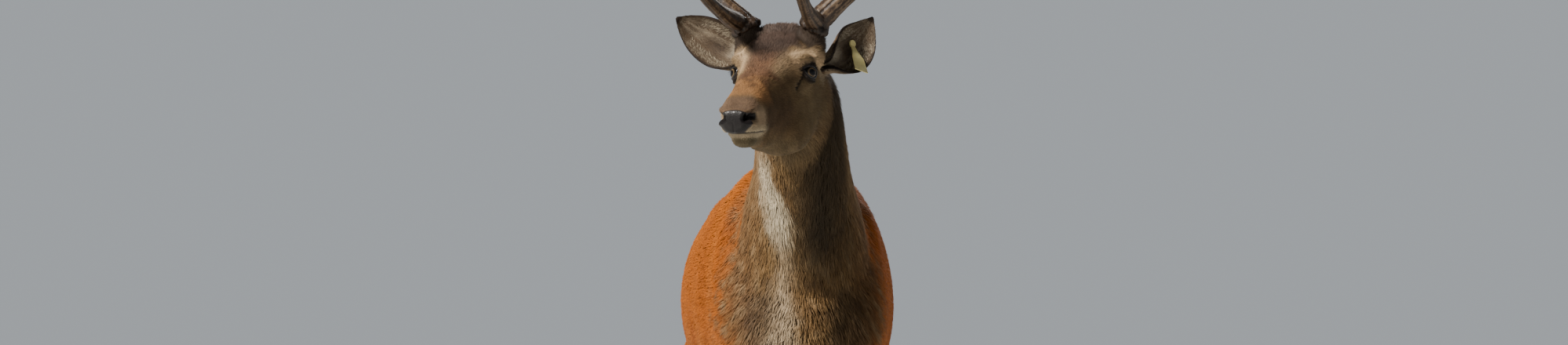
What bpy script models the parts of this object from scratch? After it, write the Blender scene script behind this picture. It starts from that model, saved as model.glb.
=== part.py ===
"""Life-size red deer stag, standing with its head turned a little to its right.

Metres, +Z up. The stag faces -Y, its left side is +X, and the soles stand on z = 0.
The flesh is blocked in from lofts and muscle forms, joined by a voxel remesh, smoothed,
and parted with thin plane cuts. Eyes, antlers, hooves and the ear tag are pieces of their own.
"""

import math

import bmesh
import bpy
from mathutils import Matrix, Vector

# Driving dimensions
HEAD_YAW = math.radians(19.5)  # towards the stag's right
HEAD_PITCH = math.radians(2.1)  # nose down
EYE_MIDPOINT = Vector((-0.081, -0.58, 1.352))  # between the two eyes
LEG_TOP = 0.665  # height of the cut under the elbow and through the gaskin
CARPUS_CUT = 0.372
HOCK_CUT = 0.452
GAP = 0.0003  # clearance between neighbouring solids

VOXEL = 0.005
EYE_RADIUS = 0.0175
CORONET_HEIGHT = 0.052

COAT = ("red_coat", (0.42, 0.16, 0.055, 1.0), 0.85)
GREY_COAT = ("grey_brown_coat", (0.30, 0.22, 0.15, 1.0), 0.85)
ANTLER = ("antler", (0.20, 0.11, 0.06, 1.0), 0.55)
HORN = ("hoof_horn", (0.035, 0.028, 0.024, 1.0), 0.4)
EYE = ("eye", (0.02, 0.012, 0.008, 1.0), 0.05)
NOSE = ("nose_pad", (0.02, 0.017, 0.018, 1.0), 0.25)
TAG = ("ear_tag", (0.80, 0.68, 0.25, 1.0), 0.45)


def clear_scene():
    for obj in list(bpy.data.objects):
        bpy.data.objects.remove(obj)


def make_collection(name):
    found = bpy.data.collections.new(name)
    bpy.context.scene.collection.children.link(found)
    return found


clear_scene()
STAG = make_collection("red_deer_stag")
HELPERS = make_collection("helpers")
HELPERS.hide_render = True


def material(look):
    name, colour, roughness = look
    found = bpy.data.materials.get(name)
    if found is None:
        found = bpy.data.materials.new(name)
        found.use_nodes = True
        shader = found.node_tree.nodes["Principled BSDF"]
        shader.inputs["Base Color"].default_value = colour
        shader.inputs["Roughness"].default_value = roughness
    return found


def new_object(name, mesh, look=None, collection=None):
    obj = bpy.data.objects.new(name, mesh)
    (collection or STAG).objects.link(obj)
    if look:
        mesh.materials.clear()
        mesh.materials.append(material(look))
    if collection is HELPERS:
        obj.hide_render = True
        obj.display_type = "WIRE"
    return obj


def evaluated_mesh(obj):
    """A copy of the object's mesh with its modifiers applied, in world space."""
    graph = bpy.context.evaluated_depsgraph_get()
    mesh = bpy.data.meshes.new_from_object(obj.evaluated_get(graph), depsgraph=graph)
    mesh.transform(obj.matrix_world)
    return mesh


# ---- curves and lofts ----------------------------------------------------------------


def smooth_rows(rows, steps):
    """Catmull-Rom through rows of numbers, with so many steps in each span."""
    rows = [tuple(float(v) for v in row) for row in rows]
    padded = [rows[0], *rows, rows[-1]]
    found = []
    for i in range(len(rows) - 1):
        p0, p1, p2, p3 = padded[i : i + 4]
        for step in range(steps):
            t = step / steps
            found.append(
                tuple(
                    0.5
                    * (
                        2 * b
                        + (c - a) * t
                        + (2 * a - 5 * b + 4 * c - d) * t * t
                        + (3 * b - a - 3 * c + d) * t**3
                    )
                    for a, b, c, d in zip(p0, p1, p2, p3)
                )
            )
    found.append(rows[-1])
    return found


def loft(rings):
    """A closed mesh through rings of points, each end closed with a fan."""
    bm = bmesh.new()
    made = [[bm.verts.new(p) for p in ring] for ring in rings]
    for low, high in zip(made, made[1:]):
        for i in range(len(low)):
            j = (i + 1) % len(low)
            bm.faces.new((low[i], low[j], high[j], high[i]))
    for ring in (made[0], made[-1]):
        middle = bm.verts.new(sum((v.co for v in ring), Vector()) / len(ring))
        for i in range(len(ring)):
            bm.faces.new((ring[i], ring[(i + 1) % len(ring)], middle))
    bmesh.ops.recalc_face_normals(bm, faces=bm.faces)
    mesh = bpy.data.meshes.new("loft")
    bm.to_mesh(mesh)
    bm.free()
    return mesh


def limb_loft(rows, steps=4, corners=20):
    """Rows are x, y, z, half width across the body, half depth along its length."""
    rows = smooth_rows(rows, steps)
    rings = []
    for i, row in enumerate(rows):
        before = Vector(rows[max(i - 1, 0)][:3])
        after = Vector(rows[min(i + 1, len(rows) - 1)][:3])
        along = (after - before).normalized()
        deep = along.cross(Vector((1, 0, 0))).normalized()
        wide = deep.cross(along)
        rings.append(
            [
                Vector(row[:3])
                + wide * row[3] * math.cos(2 * math.pi * k / corners)
                + deep * row[4] * math.sin(2 * math.pi * k / corners)
                for k in range(corners)
            ]
        )
    return loft(rings)


def ellipsoid(centre, radii, tilt=0.0, turn=None, segments=24):
    """A muscle or bone form. tilt turns it about X, in degrees, top backwards when positive."""
    bm = bmesh.new()
    bmesh.ops.create_uvsphere(bm, u_segments=segments, v_segments=segments // 2, radius=1.0)
    place = (
        Matrix.Translation(centre)
        @ (turn or Matrix.Identity(4))
        @ Matrix.Rotation(math.radians(-tilt), 4, "X")
        @ Matrix.Diagonal((*radii, 1.0))
    )
    bmesh.ops.transform(bm, matrix=place, verts=bm.verts)
    mesh = bpy.data.meshes.new("form")
    bm.to_mesh(mesh)
    bm.free()
    return mesh


# ---- trunk and neck ------------------------------------------------------------------

# y, top, bottom, half width, height of the widest point
TRUNK_STATIONS = [
    (-0.262, 0.925, 0.815, 0.050, 0.870),
    (-0.225, 1.010, 0.765, 0.105, 0.880),
    (-0.150, 1.110, 0.728, 0.146, 0.900),
    (-0.050, 1.190, 0.702, 0.168, 0.920),
    (0.050, 1.228, 0.690, 0.180, 0.935),
    (0.130, 1.234, 0.686, 0.192, 0.940),
    (0.260, 1.216, 0.688, 0.203, 0.940),
    (0.400, 1.200, 0.698, 0.208, 0.945),
    (0.550, 1.198, 0.716, 0.206, 0.955),
    (0.680, 1.206, 0.746, 0.192, 0.970),
    (0.780, 1.212, 0.782, 0.180, 0.985),
    (0.870, 1.204, 0.830, 0.168, 1.000),
    (0.960, 1.174, 0.885, 0.142, 1.010),
    (1.030, 1.126, 0.940, 0.102, 1.020),
    (1.058, 1.080, 0.985, 0.050, 1.025),
]

# x, y, z, half width, half depth
NECK_ROWS = [
    (-0.046, -0.500, 1.332, 0.064, 0.080),
    (-0.031, -0.430, 1.305, 0.080, 0.103),
    (-0.016, -0.330, 1.238, 0.086, 0.130),
    (-0.006, -0.220, 1.156, 0.097, 0.158),
    (0.000, -0.115, 1.062, 0.124, 0.202),
    (0.000, -0.035, 0.960, 0.150, 0.215),
]


def trunk_ring(row, corners=36):
    y, top, bottom, half_width, middle = row
    ring = []
    for k in range(corners):
        turn = 2 * math.pi * k / corners
        reach = top - middle if math.sin(turn) > 0 else middle - bottom
        ring.append(Vector((half_width * math.cos(turn), y, middle + reach * math.sin(turn))))
    return ring


def trunk_forms():
    """The barrel, the throat mane's swell, shoulders, haunches, and the sheath under the belly."""
    forms = [loft([trunk_ring(row) for row in smooth_rows(TRUNK_STATIONS, 3)])]
    forms.append(limb_loft(NECK_ROWS))
    for side in (-1, 1):
        forms += [
            ellipsoid((side * 0.104, 0.030, 0.985), (0.060, 0.105, 0.165), tilt=-18),
            ellipsoid((side * 0.098, -0.060, 0.895), (0.062, 0.120, 0.130)),
            ellipsoid((side * 0.098, 0.055, 0.845), (0.062, 0.115, 0.150), tilt=-20),
            ellipsoid((side * 0.086, 0.850, 0.970), (0.084, 0.190, 0.210), tilt=-12),
            ellipsoid((side * 0.108, 0.810, 0.850), (0.078, 0.140, 0.185), tilt=-25),
            ellipsoid((side * 0.084, 0.960, 0.930), (0.064, 0.095, 0.190), tilt=6),
            ellipsoid((side * 0.100, 0.900, 0.830), (0.054, 0.090, 0.165), tilt=-22),
            ellipsoid((side * 0.086, 0.735, 1.116), (0.045, 0.095, 0.066)),
            ellipsoid((side * 0.054, -0.160, 0.850), (0.058, 0.086, 0.110)),
        ]
    forms.append(ellipsoid((0, -0.190, 0.960), (0.092, 0.086, 0.180), tilt=14))
    forms.append(ellipsoid((0, 0.580, 0.716), (0.026, 0.095, 0.026), tilt=4))
    forms.append(ellipsoid((0, 0.800, 0.775), (0.030, 0.032, 0.050)))
    return forms


# ---- legs ----------------------------------------------------------------------------

# How far each foot stands ahead of (-) or behind (+) the plain stance
FORE_STEP = {-1: -0.030, 1: 0.028}
HIND_STEP = {-1: 0.045, 1: -0.035}

# x outwards, y, z, half width, half depth, share of the step
FORE_ROWS = [
    (0.104, 0.030, 0.830, 0.045, 0.085, 0.0),
    (0.112, 0.040, 0.740, 0.046, 0.080, 0.0),
    (0.112, 0.038, 0.665, 0.043, 0.063, 0.1),
    (0.110, 0.027, 0.560, 0.034, 0.043, 0.3),
    (0.107, 0.018, 0.460, 0.026, 0.031, 0.5),
    (0.105, 0.012, 0.405, 0.031, 0.034, 0.6),
    (0.104, 0.016, 0.360, 0.026, 0.029, 0.65),
    (0.103, 0.022, 0.310, 0.0205, 0.0245, 0.7),
    (0.102, 0.026, 0.190, 0.0195, 0.0235, 0.85),
    (0.102, 0.024, 0.130, 0.027, 0.030, 0.95),
    (0.102, 0.010, 0.095, 0.0265, 0.028, 1.0),
    (0.102, -0.010, 0.060, 0.029, 0.031, 1.0),
    (0.102, -0.018, 0.040, 0.030, 0.032, 1.0),
]
HIND_ROWS = [
    (0.122, 0.815, 0.860, 0.072, 0.120, 0.0),
    (0.128, 0.815, 0.760, 0.062, 0.104, 0.0),
    (0.128, 0.860, 0.665, 0.048, 0.076, 0.1),
    (0.124, 0.930, 0.590, 0.034, 0.050, 0.3),
    (0.120, 0.995, 0.525, 0.027, 0.038, 0.5),
    (0.118, 1.014, 0.480, 0.028, 0.038, 0.6),
    (0.117, 1.008, 0.430, 0.024, 0.032, 0.65),
    (0.116, 1.000, 0.370, 0.0205, 0.0270, 0.7),
    (0.115, 0.986, 0.210, 0.0200, 0.0250, 0.85),
    (0.115, 0.978, 0.140, 0.027, 0.031, 0.95),
    (0.115, 0.962, 0.100, 0.0265, 0.028, 1.0),
    (0.115, 0.940, 0.062, 0.029, 0.031, 1.0),
    (0.115, 0.932, 0.040, 0.030, 0.032, 1.0),
]


# The hamstring's tendon behind each gaskin, down to the point of the hock
TENDON_ROWS = [
    (0.122, 0.895, 0.740, 0.032, 0.044, 0.0),
    (0.122, 0.944, 0.655, 0.019, 0.034, 0.1),
    (0.120, 0.998, 0.585, 0.013, 0.025, 0.3),
    (0.118, 1.028, 0.535, 0.015, 0.021, 0.45),
    (0.117, 1.030, 0.500, 0.014, 0.020, 0.55),
    (0.117, 1.018, 0.470, 0.012, 0.018, 0.6),
]


def leg_rows(rows, side, step):
    return [(side * x, y + share * step, z, w, d) for x, y, z, w, d, share in rows]


def leg_forms():
    forms = []
    for side in (-1, 1):
        forms.append(limb_loft(leg_rows(FORE_ROWS, side, FORE_STEP[side])))
        forms.append(limb_loft(leg_rows(HIND_ROWS, side, HIND_STEP[side])))
        forms.append(limb_loft(leg_rows(TENDON_ROWS, side, HIND_STEP[side]), corners=12))
    return forms


TAIL_ROWS = [
    (0.000, 1.010, 1.118, 0.036, 0.030),
    (0.000, 1.050, 1.100, 0.034, 0.026),
    (0.000, 1.072, 1.050, 0.031, 0.021),
    (0.000, 1.070, 0.985, 0.025, 0.017),
    (0.000, 1.058, 0.940, 0.012, 0.010),
]


# ---- head ----------------------------------------------------------------------------

# The head is laid out in its own frame: x to the stag's left, forward towards the nose, up.
# forward, top, brow (x, z), cheekbone (x, z), cheek (x, z), jaw (x, z), bottom
HEAD_STATIONS = [
    (-0.150, 0.020, (0.030, 0.012), (0.045, -0.020), (0.045, -0.055), (0.030, -0.085), -0.092),
    (-0.122, 0.050, (0.040, 0.040), (0.062, 0.000), (0.062, -0.055), (0.042, -0.100), -0.112),
    (-0.090, 0.072, (0.044, 0.052), (0.067, 0.008), (0.066, -0.055), (0.044, -0.118), -0.132),
    (-0.060, 0.080, (0.046, 0.056), (0.069, 0.010), (0.066, -0.060), (0.044, -0.130), -0.146),
    (-0.030, 0.074, (0.046, 0.056), (0.071, 0.014), (0.067, -0.055), (0.042, -0.130), -0.150),
    (0.000, 0.058, (0.046, 0.052), (0.067, 0.014), (0.064, -0.050), (0.038, -0.122), -0.146),
    (0.035, 0.042, (0.035, 0.036), (0.055, -0.008), (0.055, -0.055), (0.034, -0.114), -0.138),
    (0.075, 0.022, (0.029, 0.017), (0.047, -0.018), (0.047, -0.060), (0.030, -0.110), -0.132),
    (0.115, 0.000, (0.025, -0.004), (0.040, -0.033), (0.040, -0.070), (0.027, -0.108), -0.128),
    (0.155, -0.021, (0.023, -0.025), (0.036, -0.048), (0.037, -0.080), (0.025, -0.108), -0.126),
    (0.190, -0.040, (0.024, -0.042), (0.036, -0.060), (0.036, -0.086), (0.024, -0.108), -0.120),
    (0.216, -0.053, (0.025, -0.055), (0.035, -0.070), (0.034, -0.090), (0.023, -0.108), -0.116),
    (0.234, -0.061, (0.023, -0.063), (0.031, -0.076), (0.029, -0.092), (0.018, -0.107), -0.113),
    (0.245, -0.070, (0.015, -0.071), (0.021, -0.080), (0.019, -0.092), (0.012, -0.102), -0.105),
]
HEAD_TURN = Matrix.Rotation(-HEAD_YAW, 4, "Z") @ Matrix.Rotation(HEAD_PITCH, 4, "X")
HEAD_FRAME = Matrix.Translation(EYE_MIDPOINT) @ HEAD_TURN


def on_head(x, forward, up):
    """The world place of a point in the head's own frame."""
    return HEAD_FRAME @ Vector((x, -forward, up))


def head_ring(forward, numbers, steps=4):
    """A closed ring through the top, four points down each side, and the bottom."""
    top, bottom = (0.0, numbers[0]), (0.0, numbers[-1])
    side = [tuple(numbers[i : i + 2]) for i in range(1, 9, 2)]
    outline = [top, *side, bottom, *[(-x, z) for x, z in reversed(side)]]
    wrapped = outline[-1:] + outline + outline[:2]
    ring = smooth_rows(wrapped, steps)[steps : steps * (len(outline) + 1)]
    return [on_head(x, forward, z) for x, z in ring]


def head_forms():
    rows = [
        (forward, top, *brow, *bone, *cheek, *jaw, bottom)
        for forward, top, brow, bone, cheek, jaw, bottom in HEAD_STATIONS
    ]
    forms = [loft([head_ring(row[0], row[1:]) for row in smooth_rows(rows, 3)])]

    def form(x, forward, up, radii, tilt=0.0):
        forms.append(ellipsoid(on_head(x, forward, up), radii, tilt, HEAD_TURN))

    for side in (-1, 1):
        form(side * 0.056, -0.004, 0.021, (0.022, 0.040, 0.015), tilt=8)
        form(side * 0.053, 0.002, -0.026, (0.013, 0.036, 0.013), tilt=-10)
        form(side * 0.0615, -0.0065, 0.0, (0.0212, 0.0212, 0.0195))
        form(side * 0.035, -0.030, -0.082, (0.027, 0.075, 0.060))
        form(side * 0.022, 0.222, -0.078, (0.015, 0.020, 0.017))
        form(side * 0.024, 0.175, -0.096, (0.013, 0.055, 0.017))
    form(0.0, 0.182, -0.121, (0.022, 0.032, 0.014), tilt=4)
    form(0.0, 0.100, -0.120, (0.022, 0.090, 0.016), tilt=2)
    form(0.0, 0.228, -0.086, (0.025, 0.018, 0.022))
    form(0.0, -0.066, 0.078, (0.036, 0.030, 0.014))
    return forms + pedicle_forms()


# ---- antlers -------------------------------------------------------------------------

# Places on an antler are in the head's frame, x outwards from the middle, and mirrored for
# the right side.
BURR = (0.060, -0.050, 0.076)
BURR_AXIS = Vector((0.50, 0.04, 0.87)).normalized()  # outwards, forward, up
BURR_RADIUS = 0.0275

# x outwards, forward, up, radius
BEAM = [
    (0.0645, -0.0495, 0.0835, 0.0205),
    (0.077, -0.050, 0.098, 0.0205),
    (0.112, -0.050, 0.130, 0.0185),
    (0.170, -0.074, 0.186, 0.0180),
    (0.232, -0.118, 0.275, 0.0175),
    (0.292, -0.148, 0.390, 0.0170),
    (0.330, -0.136, 0.505, 0.0165),
    (0.343, -0.098, 0.605, 0.0170),
    (0.338, -0.060, 0.685, 0.0140),
    (0.322, -0.030, 0.752, 0.0095),
    (0.304, -0.010, 0.802, 0.0035),
]
BEAM_CUTS = {"beam_lower": 3.0, "beam_middle": 5.35, "beam_upper": 7.75, "crown_tip": 10.0}
TINES = {
    "brow_tine": [
        (0.070, -0.049, 0.092, 0.0110),
        (0.073, -0.012, 0.095, 0.0155),
        (0.080, 0.055, 0.110, 0.0115),
        (0.090, 0.127, 0.139, 0.0098),
        (0.097, 0.180, 0.182, 0.0080),
        (0.099, 0.210, 0.236, 0.0030),
    ],
    "bez_tine": [
        (0.141, -0.062, 0.158, 0.0100),
        (0.160, -0.022, 0.182, 0.0130),
        (0.180, 0.040, 0.218, 0.0105),
        (0.190, 0.088, 0.272, 0.0080),
        (0.188, 0.106, 0.324, 0.0030),
    ],
    "trez_tine": [
        (0.281, -0.144, 0.366, 0.0090),
        (0.286, -0.096, 0.396, 0.0130),
        (0.288, -0.030, 0.448, 0.0105),
        (0.280, 0.016, 0.515, 0.0080),
        (0.266, 0.032, 0.578, 0.0030),
    ],
    "crown_outer_tine": [
        (0.342, -0.102, 0.594, 0.0090),
        (0.372, -0.102, 0.640, 0.0130),
        (0.394, -0.092, 0.705, 0.0095),
        (0.396, -0.078, 0.768, 0.0030),
    ],
    "crown_rear_tine": [
        (0.342, -0.090, 0.624, 0.0090),
        (0.342, -0.128, 0.676, 0.0125),
        (0.338, -0.158, 0.738, 0.0090),
        (0.326, -0.168, 0.800, 0.0030),
    ],
    "crown_inner_tine": [
        (0.338, -0.066, 0.670, 0.0080),
        (0.306, -0.074, 0.708, 0.0115),
        (0.280, -0.082, 0.760, 0.0085),
        (0.264, -0.086, 0.812, 0.0030),
    ],
}


def on_antler(side, x, forward, up):
    return on_head(side * x, forward, up)


def antler_direction(side, along):
    """A direction given as outwards, forward and up, in world space."""
    return HEAD_FRAME.to_3x3() @ Vector((side * along.x, -along.y, along.z))


def pedicle_forms():
    """The two skin-covered stumps of bone that carry the antlers."""
    rows = [
        (0.052, -0.044, 0.026, 0.036),
        (0.060, -0.050, 0.046, 0.027),
        (0.061, -0.050, 0.066, 0.0230),
        (0.061, -0.050, 0.088, 0.0220),
    ]
    forms = []
    for side in (-1, 1):
        placed = [(*on_antler(side, x, f, up), r, r) for x, f, up, r in rows]
        forms.append(limb_loft(placed, steps=3))
    return forms


def tube(rows, side, grow=0.0, roundness=1):
    """A tapering tine or beam as a closed mesh, made from a curve's bevel."""
    curve = bpy.data.curves.new("line", "CURVE")
    curve.dimensions = "3D"
    curve.bevel_depth = 1.0
    curve.bevel_resolution = roundness
    curve.use_fill_caps = True
    spline = curve.splines.new("POLY")
    spline.points.add(len(rows) - 1)
    for point, (x, forward, up, radius) in zip(spline.points, rows):
        point.co = (*on_antler(side, x, forward, up), 1.0)
        point.radius = radius + grow
    holder = new_object("line", curve, collection=HELPERS)
    mesh = evaluated_mesh(holder)
    bpy.data.objects.remove(holder)
    bm = bmesh.new()
    bm.from_mesh(mesh)
    bmesh.ops.remove_doubles(bm, verts=bm.verts, dist=0.0001)
    bmesh.ops.recalc_face_normals(bm, faces=bm.faces)
    bm.to_mesh(mesh)
    bm.free()
    return mesh


def collar(side, profile, corners=12):
    """A ring turned about the burr's axis. The profile is distance along it, radius."""
    along = antler_direction(side, BURR_AXIS).normalized()
    across = along.orthogonal().normalized()
    other = along.cross(across)
    rings = []
    for distance, radius in profile:
        centre = on_antler(side, *BURR) + along * distance
        ring = []
        for k in range(corners):
            turn = 2 * math.pi * k / corners
            ring.append(centre + (across * math.cos(turn) + other * math.sin(turn)) * radius)
        rings.append(ring)
    return loft(rings)


def burr_profile(grow=0.0, headroom=0.0):
    """The burr's ring, or a cutter for its seat with a clear way above it."""
    shape = ((0.0, 0.80), (0.003, 0.96), (0.007, 1.0), (0.012, 0.94), (0.017, 0.78))
    rows = [(along, BURR_RADIUS * share + grow) for along, share in shape]
    rows = [(-grow, rows[0][1]), *rows[1:-1], (rows[-1][0] + grow, rows[-1][1])]
    return rows + ([(headroom, BURR_RADIUS)] if headroom else [])


def beam_point(rows, place, steps):
    """The point and direction on the smoothed beam at a place counted in its given rows."""
    index = min(int(round(place * steps)), len(rows) - 2)
    here, ahead = Vector(rows[index][:3]), Vector(rows[index + 1][:3])
    return here, (ahead - here).normalized()


def build_antler(side, hand):
    steps = 2
    beam_rows = smooth_rows(BEAM, steps)
    beam_whole = cutter("beam_cutter", tube(beam_rows, side, grow=GAP, roundness=2))
    start = None
    for name, end in BEAM_CUTS.items():
        mesh = tube(beam_rows, side, roundness=2)
        bm = bmesh.new()
        bm.from_mesh(mesh)
        if start is not None:
            here, along = beam_point(beam_rows, start, steps)
            place = on_antler(side, *here)
            normal = antler_direction(side, along)
            cut(bm, place + normal * GAP / 2, -normal)
        if end < len(BEAM) - 1:
            here, along = beam_point(beam_rows, end, steps)
            place = on_antler(side, *here)
            normal = antler_direction(side, along)
            cut(bm, place - normal * GAP / 2, normal)
        bmesh.ops.triangulate(bm, faces=bm.faces)
        bm.to_mesh(mesh)
        bm.free()
        mesh.shade_smooth()
        piece = new_object(f"antler_{hand}_{name}", mesh, ANTLER)
        if start is None:
            ring = cutter("burr", collar(side, burr_profile()))
            boolean(piece, ring, "UNION")
            bpy.data.objects.remove(ring)
        start = end
    for name, rows in TINES.items():
        mesh = tube(smooth_rows(rows, 2), side)
        tine = new_object(f"antler_{hand}_{name}", mesh, ANTLER)
        boolean(tine, beam_whole, "DIFFERENCE")
        tine.data.shade_smooth()
    ring = cutter("burr_cutter", collar(side, burr_profile(GAP)))
    boolean(bpy.data.objects[f"antler_{hand}_brow_tine"], ring, "DIFFERENCE")
    bpy.data.objects.remove(ring)
    bpy.data.objects.remove(beam_whole)


# ---- ears, eyes, nose and tag --------------------------------------------------------

# Each ear's middle line bends from its root past an elbow to its tip, in the head's frame.
# "faces" is the way the opening looks. The left ear is turned back further than the right.
EARS = {
    -1: {
        "root": (-0.058, -0.086, 0.014),
        "elbow": (-0.138, -0.096, 0.052),
        "tip": (-0.216, -0.112, 0.106),
        "faces": (-0.10, 0.97, 0.20),
    },
    1: {
        "root": (0.060, -0.090, 0.012),
        "elbow": (0.140, -0.130, 0.032),
        "tip": (0.132, -0.204, 0.104),
        "faces": (0.66, 0.74, 0.05),
    },
}
# share of the length, half the width measured round the curl, half the curl in degrees, thickness
EAR_SECTIONS = [
    (0.00, 0.052, 160.0, 0.0170),
    (0.12, 0.055, 150.0, 0.0150),
    (0.25, 0.058, 112.0, 0.0060),
    (0.40, 0.058, 80.0, 0.0045),
    (0.58, 0.053, 62.0, 0.0040),
    (0.76, 0.041, 50.0, 0.0036),
    (0.90, 0.023, 40.0, 0.0032),
    (1.00, 0.006, 30.0, 0.0028),
]


def head_direction(x, forward, up):
    return HEAD_FRAME.to_3x3() @ Vector((x, -forward, up))


def ear_section(share):
    """The ear's numbers at a share of its length."""
    rows = smooth_rows(EAR_SECTIONS, 12)
    return next(row for row in rows if row[0] >= share - 1e-6)


def ear_point(side, turn, depth, numbers):
    """A point on the ear. turn runs from -1 to 1 round the curl, depth is inwards from the back."""
    share, half_width, curl = numbers[0], numbers[1], math.radians(numbers[2])
    ear = EARS[side]
    root, elbow, tip = (on_head(*ear[place]) for place in ("root", "elbow", "tip"))
    middle = root * (1 - share) ** 2 + elbow * 2 * share * (1 - share) + tip * share**2
    along = ((elbow - root) * (1 - share) + (tip - elbow) * share).normalized()
    out = head_direction(*ear["faces"])
    out = (out - along * out.dot(along)).normalized()
    across = along.cross(out)
    radius = half_width / curl
    reach = max(radius - depth, 0.0005)
    rim = middle + out * radius * math.cos(curl) * 0.45
    return rim + (across * math.sin(curl * turn) - out * math.cos(curl * turn)) * reach


def ear_mesh(side, steps=1, turns=6):
    """A curled leaf with a back, an inside and a rim, solid at its root."""
    sections = smooth_rows(EAR_SECTIONS, steps)
    bm = bmesh.new()
    sheets = []
    for inside in (False, True):
        sheet = []
        for numbers in sections:
            depth = numbers[3] if inside else 0.0
            row = [ear_point(side, -1 + 2 * k / turns, depth, numbers) for k in range(turns + 1)]
            sheet.append([bm.verts.new(point) for point in row])
        sheets.append(sheet)
    back, front = sheets
    for sheet in sheets:
        for low, high in zip(sheet, sheet[1:]):
            for k in range(turns):
                bm.faces.new((low[k], low[k + 1], high[k + 1], high[k]))
    for edge in (0, turns):
        for i in range(len(sections) - 1):
            bm.faces.new((back[i][edge], back[i + 1][edge], front[i + 1][edge], front[i][edge]))
    for end in (0, -1):
        for k in range(turns):
            bm.faces.new((back[end][k], back[end][k + 1], front[end][k + 1], front[end][k]))
    bmesh.ops.triangulate(bm, faces=bm.faces)
    bmesh.ops.recalc_face_normals(bm, faces=bm.faces)
    mesh = bpy.data.meshes.new("ear")
    bm.to_mesh(mesh)
    bm.free()
    mesh.shade_smooth()
    return mesh


def thickened(mesh, amount):
    """The same closed mesh pushed out along its normals, for cutting a seat with clearance."""
    bm = bmesh.new()
    bm.from_mesh(mesh)
    bm.normal_update()
    for vertex in bm.verts:
        vertex.co += vertex.normal * amount
    grown = bpy.data.meshes.new("grown")
    bm.to_mesh(grown)
    bm.free()
    return grown


EYE_AXIS = Vector((0.80, 0.59, 0.02)).normalized()
EYE_APEX = Vector((0.0755, 0.004, 0.0))


def eye_mesh(side, grow=0.0):
    centre = EYE_APEX - EYE_AXIS * EYE_RADIUS
    bm = bmesh.new()
    bmesh.ops.create_uvsphere(bm, u_segments=12, v_segments=8, radius=EYE_RADIUS + grow)
    bm.transform(Matrix.Translation(on_head(side * centre.x, centre.y, centre.z)))
    mesh = bpy.data.meshes.new("eye")
    bm.to_mesh(mesh)
    bm.free()
    mesh.shade_smooth()
    return mesh


def eye_opening(side):
    """The gap between the lids, as a cutter: wider than high, its inner corner the lower."""
    centre = EYE_APEX + EYE_AXIS * 0.004
    axis = HEAD_FRAME.to_3x3() @ Vector((side * EYE_AXIS.x, -EYE_AXIS.y, EYE_AXIS.z))
    level = Vector((0, 0, 1)).cross(axis).normalized()
    upright = axis.cross(level)
    slant = Matrix.Rotation(math.radians(-side * 24), 3, axis)
    frame = Matrix((slant @ level, slant @ upright, axis)).transposed().to_4x4()
    place = on_head(side * centre.x, centre.y, centre.z)
    return ellipsoid(place, (0.0165, 0.0105, 0.0125), turn=frame, segments=14)


def nose_block(grow=0.0):
    """The space that the bare nose pad fills, as a cutter."""
    radii = (0.034 + grow, 0.024 + grow, 0.0225 + grow)
    return ellipsoid(on_head(0.0, 0.243, -0.090), radii, turn=HEAD_TURN, segments=16)


def hoof_claw(foot, side, inner):
    """One claw of a cloven hoof: flat sole, sloping toe, and a top parallel to the coronet."""
    away = -side if inner else side
    half_width, gap = 0.0143, 0.0035
    length_front, length_heel = 0.050, 0.030
    # height at the front, height at the heel, share of length kept, shift back, share of width
    levels = [
        (0.000, 0.000, 0.94, 0.000, 0.90),
        (0.004, 0.004, 1.00, 0.000, 1.00),
        (0.026, 0.018, 0.90, 0.006, 1.00),
        (CORONET_HEIGHT + 0.0075, CORONET_HEIGHT - 0.0125, 0.66, 0.016, 0.97),
    ]
    corners = 10
    rings = []
    for front_height, heel_height, kept, shift, broad in levels:
        ring = []
        for k in range(corners):
            turn = 2 * math.pi * k / corners
            reach = length_front if math.sin(turn) > 0 else length_heel
            toe = max(0.0, math.sin(turn))
            wide = half_width * broad * math.cos(turn) * (1 - 0.30 * toe)
            if wide * away < 0:
                wide *= 0.80
            along = -math.sin(turn) * reach * kept + shift
            x = foot.x + away * (gap / 2 + half_width * 0.82) + wide
            x -= away * 0.20 * half_width * toe
            blend = (along + length_front) / (length_front + length_heel)
            height = front_height + (heel_height - front_height) * blend
            ring.append(Vector((x, foot.y + along, height)))
        rings.append(ring)
    return loft(rings)


def dewclaw(foot, side, inner):
    """A small horn cone behind the fetlock, pointing down and back."""
    away = -side if inner else side
    top = Vector((foot.x + away * 0.0165, foot.y + 0.052, 0.124))
    rows = [(0.0, 0.0088), (0.4, 0.0092), (0.8, 0.0062), (1.0, 0.0025)]
    down = Vector((away * 0.003, 0.012, -0.027))
    return limb_loft([(*(top + down * share), r, r * 0.8) for share, r in rows], steps=1, corners=6)


TAG_PLACE = (0.64, -0.08)  # share of the left ear's length, and turn round its curl
TAG_THICKNESS = 0.0016
# Each plate's way down in the head's frame, its length, and how far its foot hangs off the ear
TAG_PLATES = {
    "ear_tag_front": ((-0.50, 0.0, -1.0), 0.060, 0.030),
    "ear_tag_back": ((0.62, -0.10, -0.78), 0.050, 0.006),
}


def disc(centre, axis, radius, thickness, corners=12):
    """A flat round button or pin, from the centre of its first face along the axis."""
    across = axis.orthogonal().normalized()
    other = axis.cross(across)
    rings = []
    for end in (0.0, thickness):
        ring = []
        for k in range(corners):
            turn = 2 * math.pi * k / corners
            ring.append(centre + axis * end + (across * math.cos(turn) + other * math.sin(turn)) * radius)
        rings.append(ring)
    return loft(rings)


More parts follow.
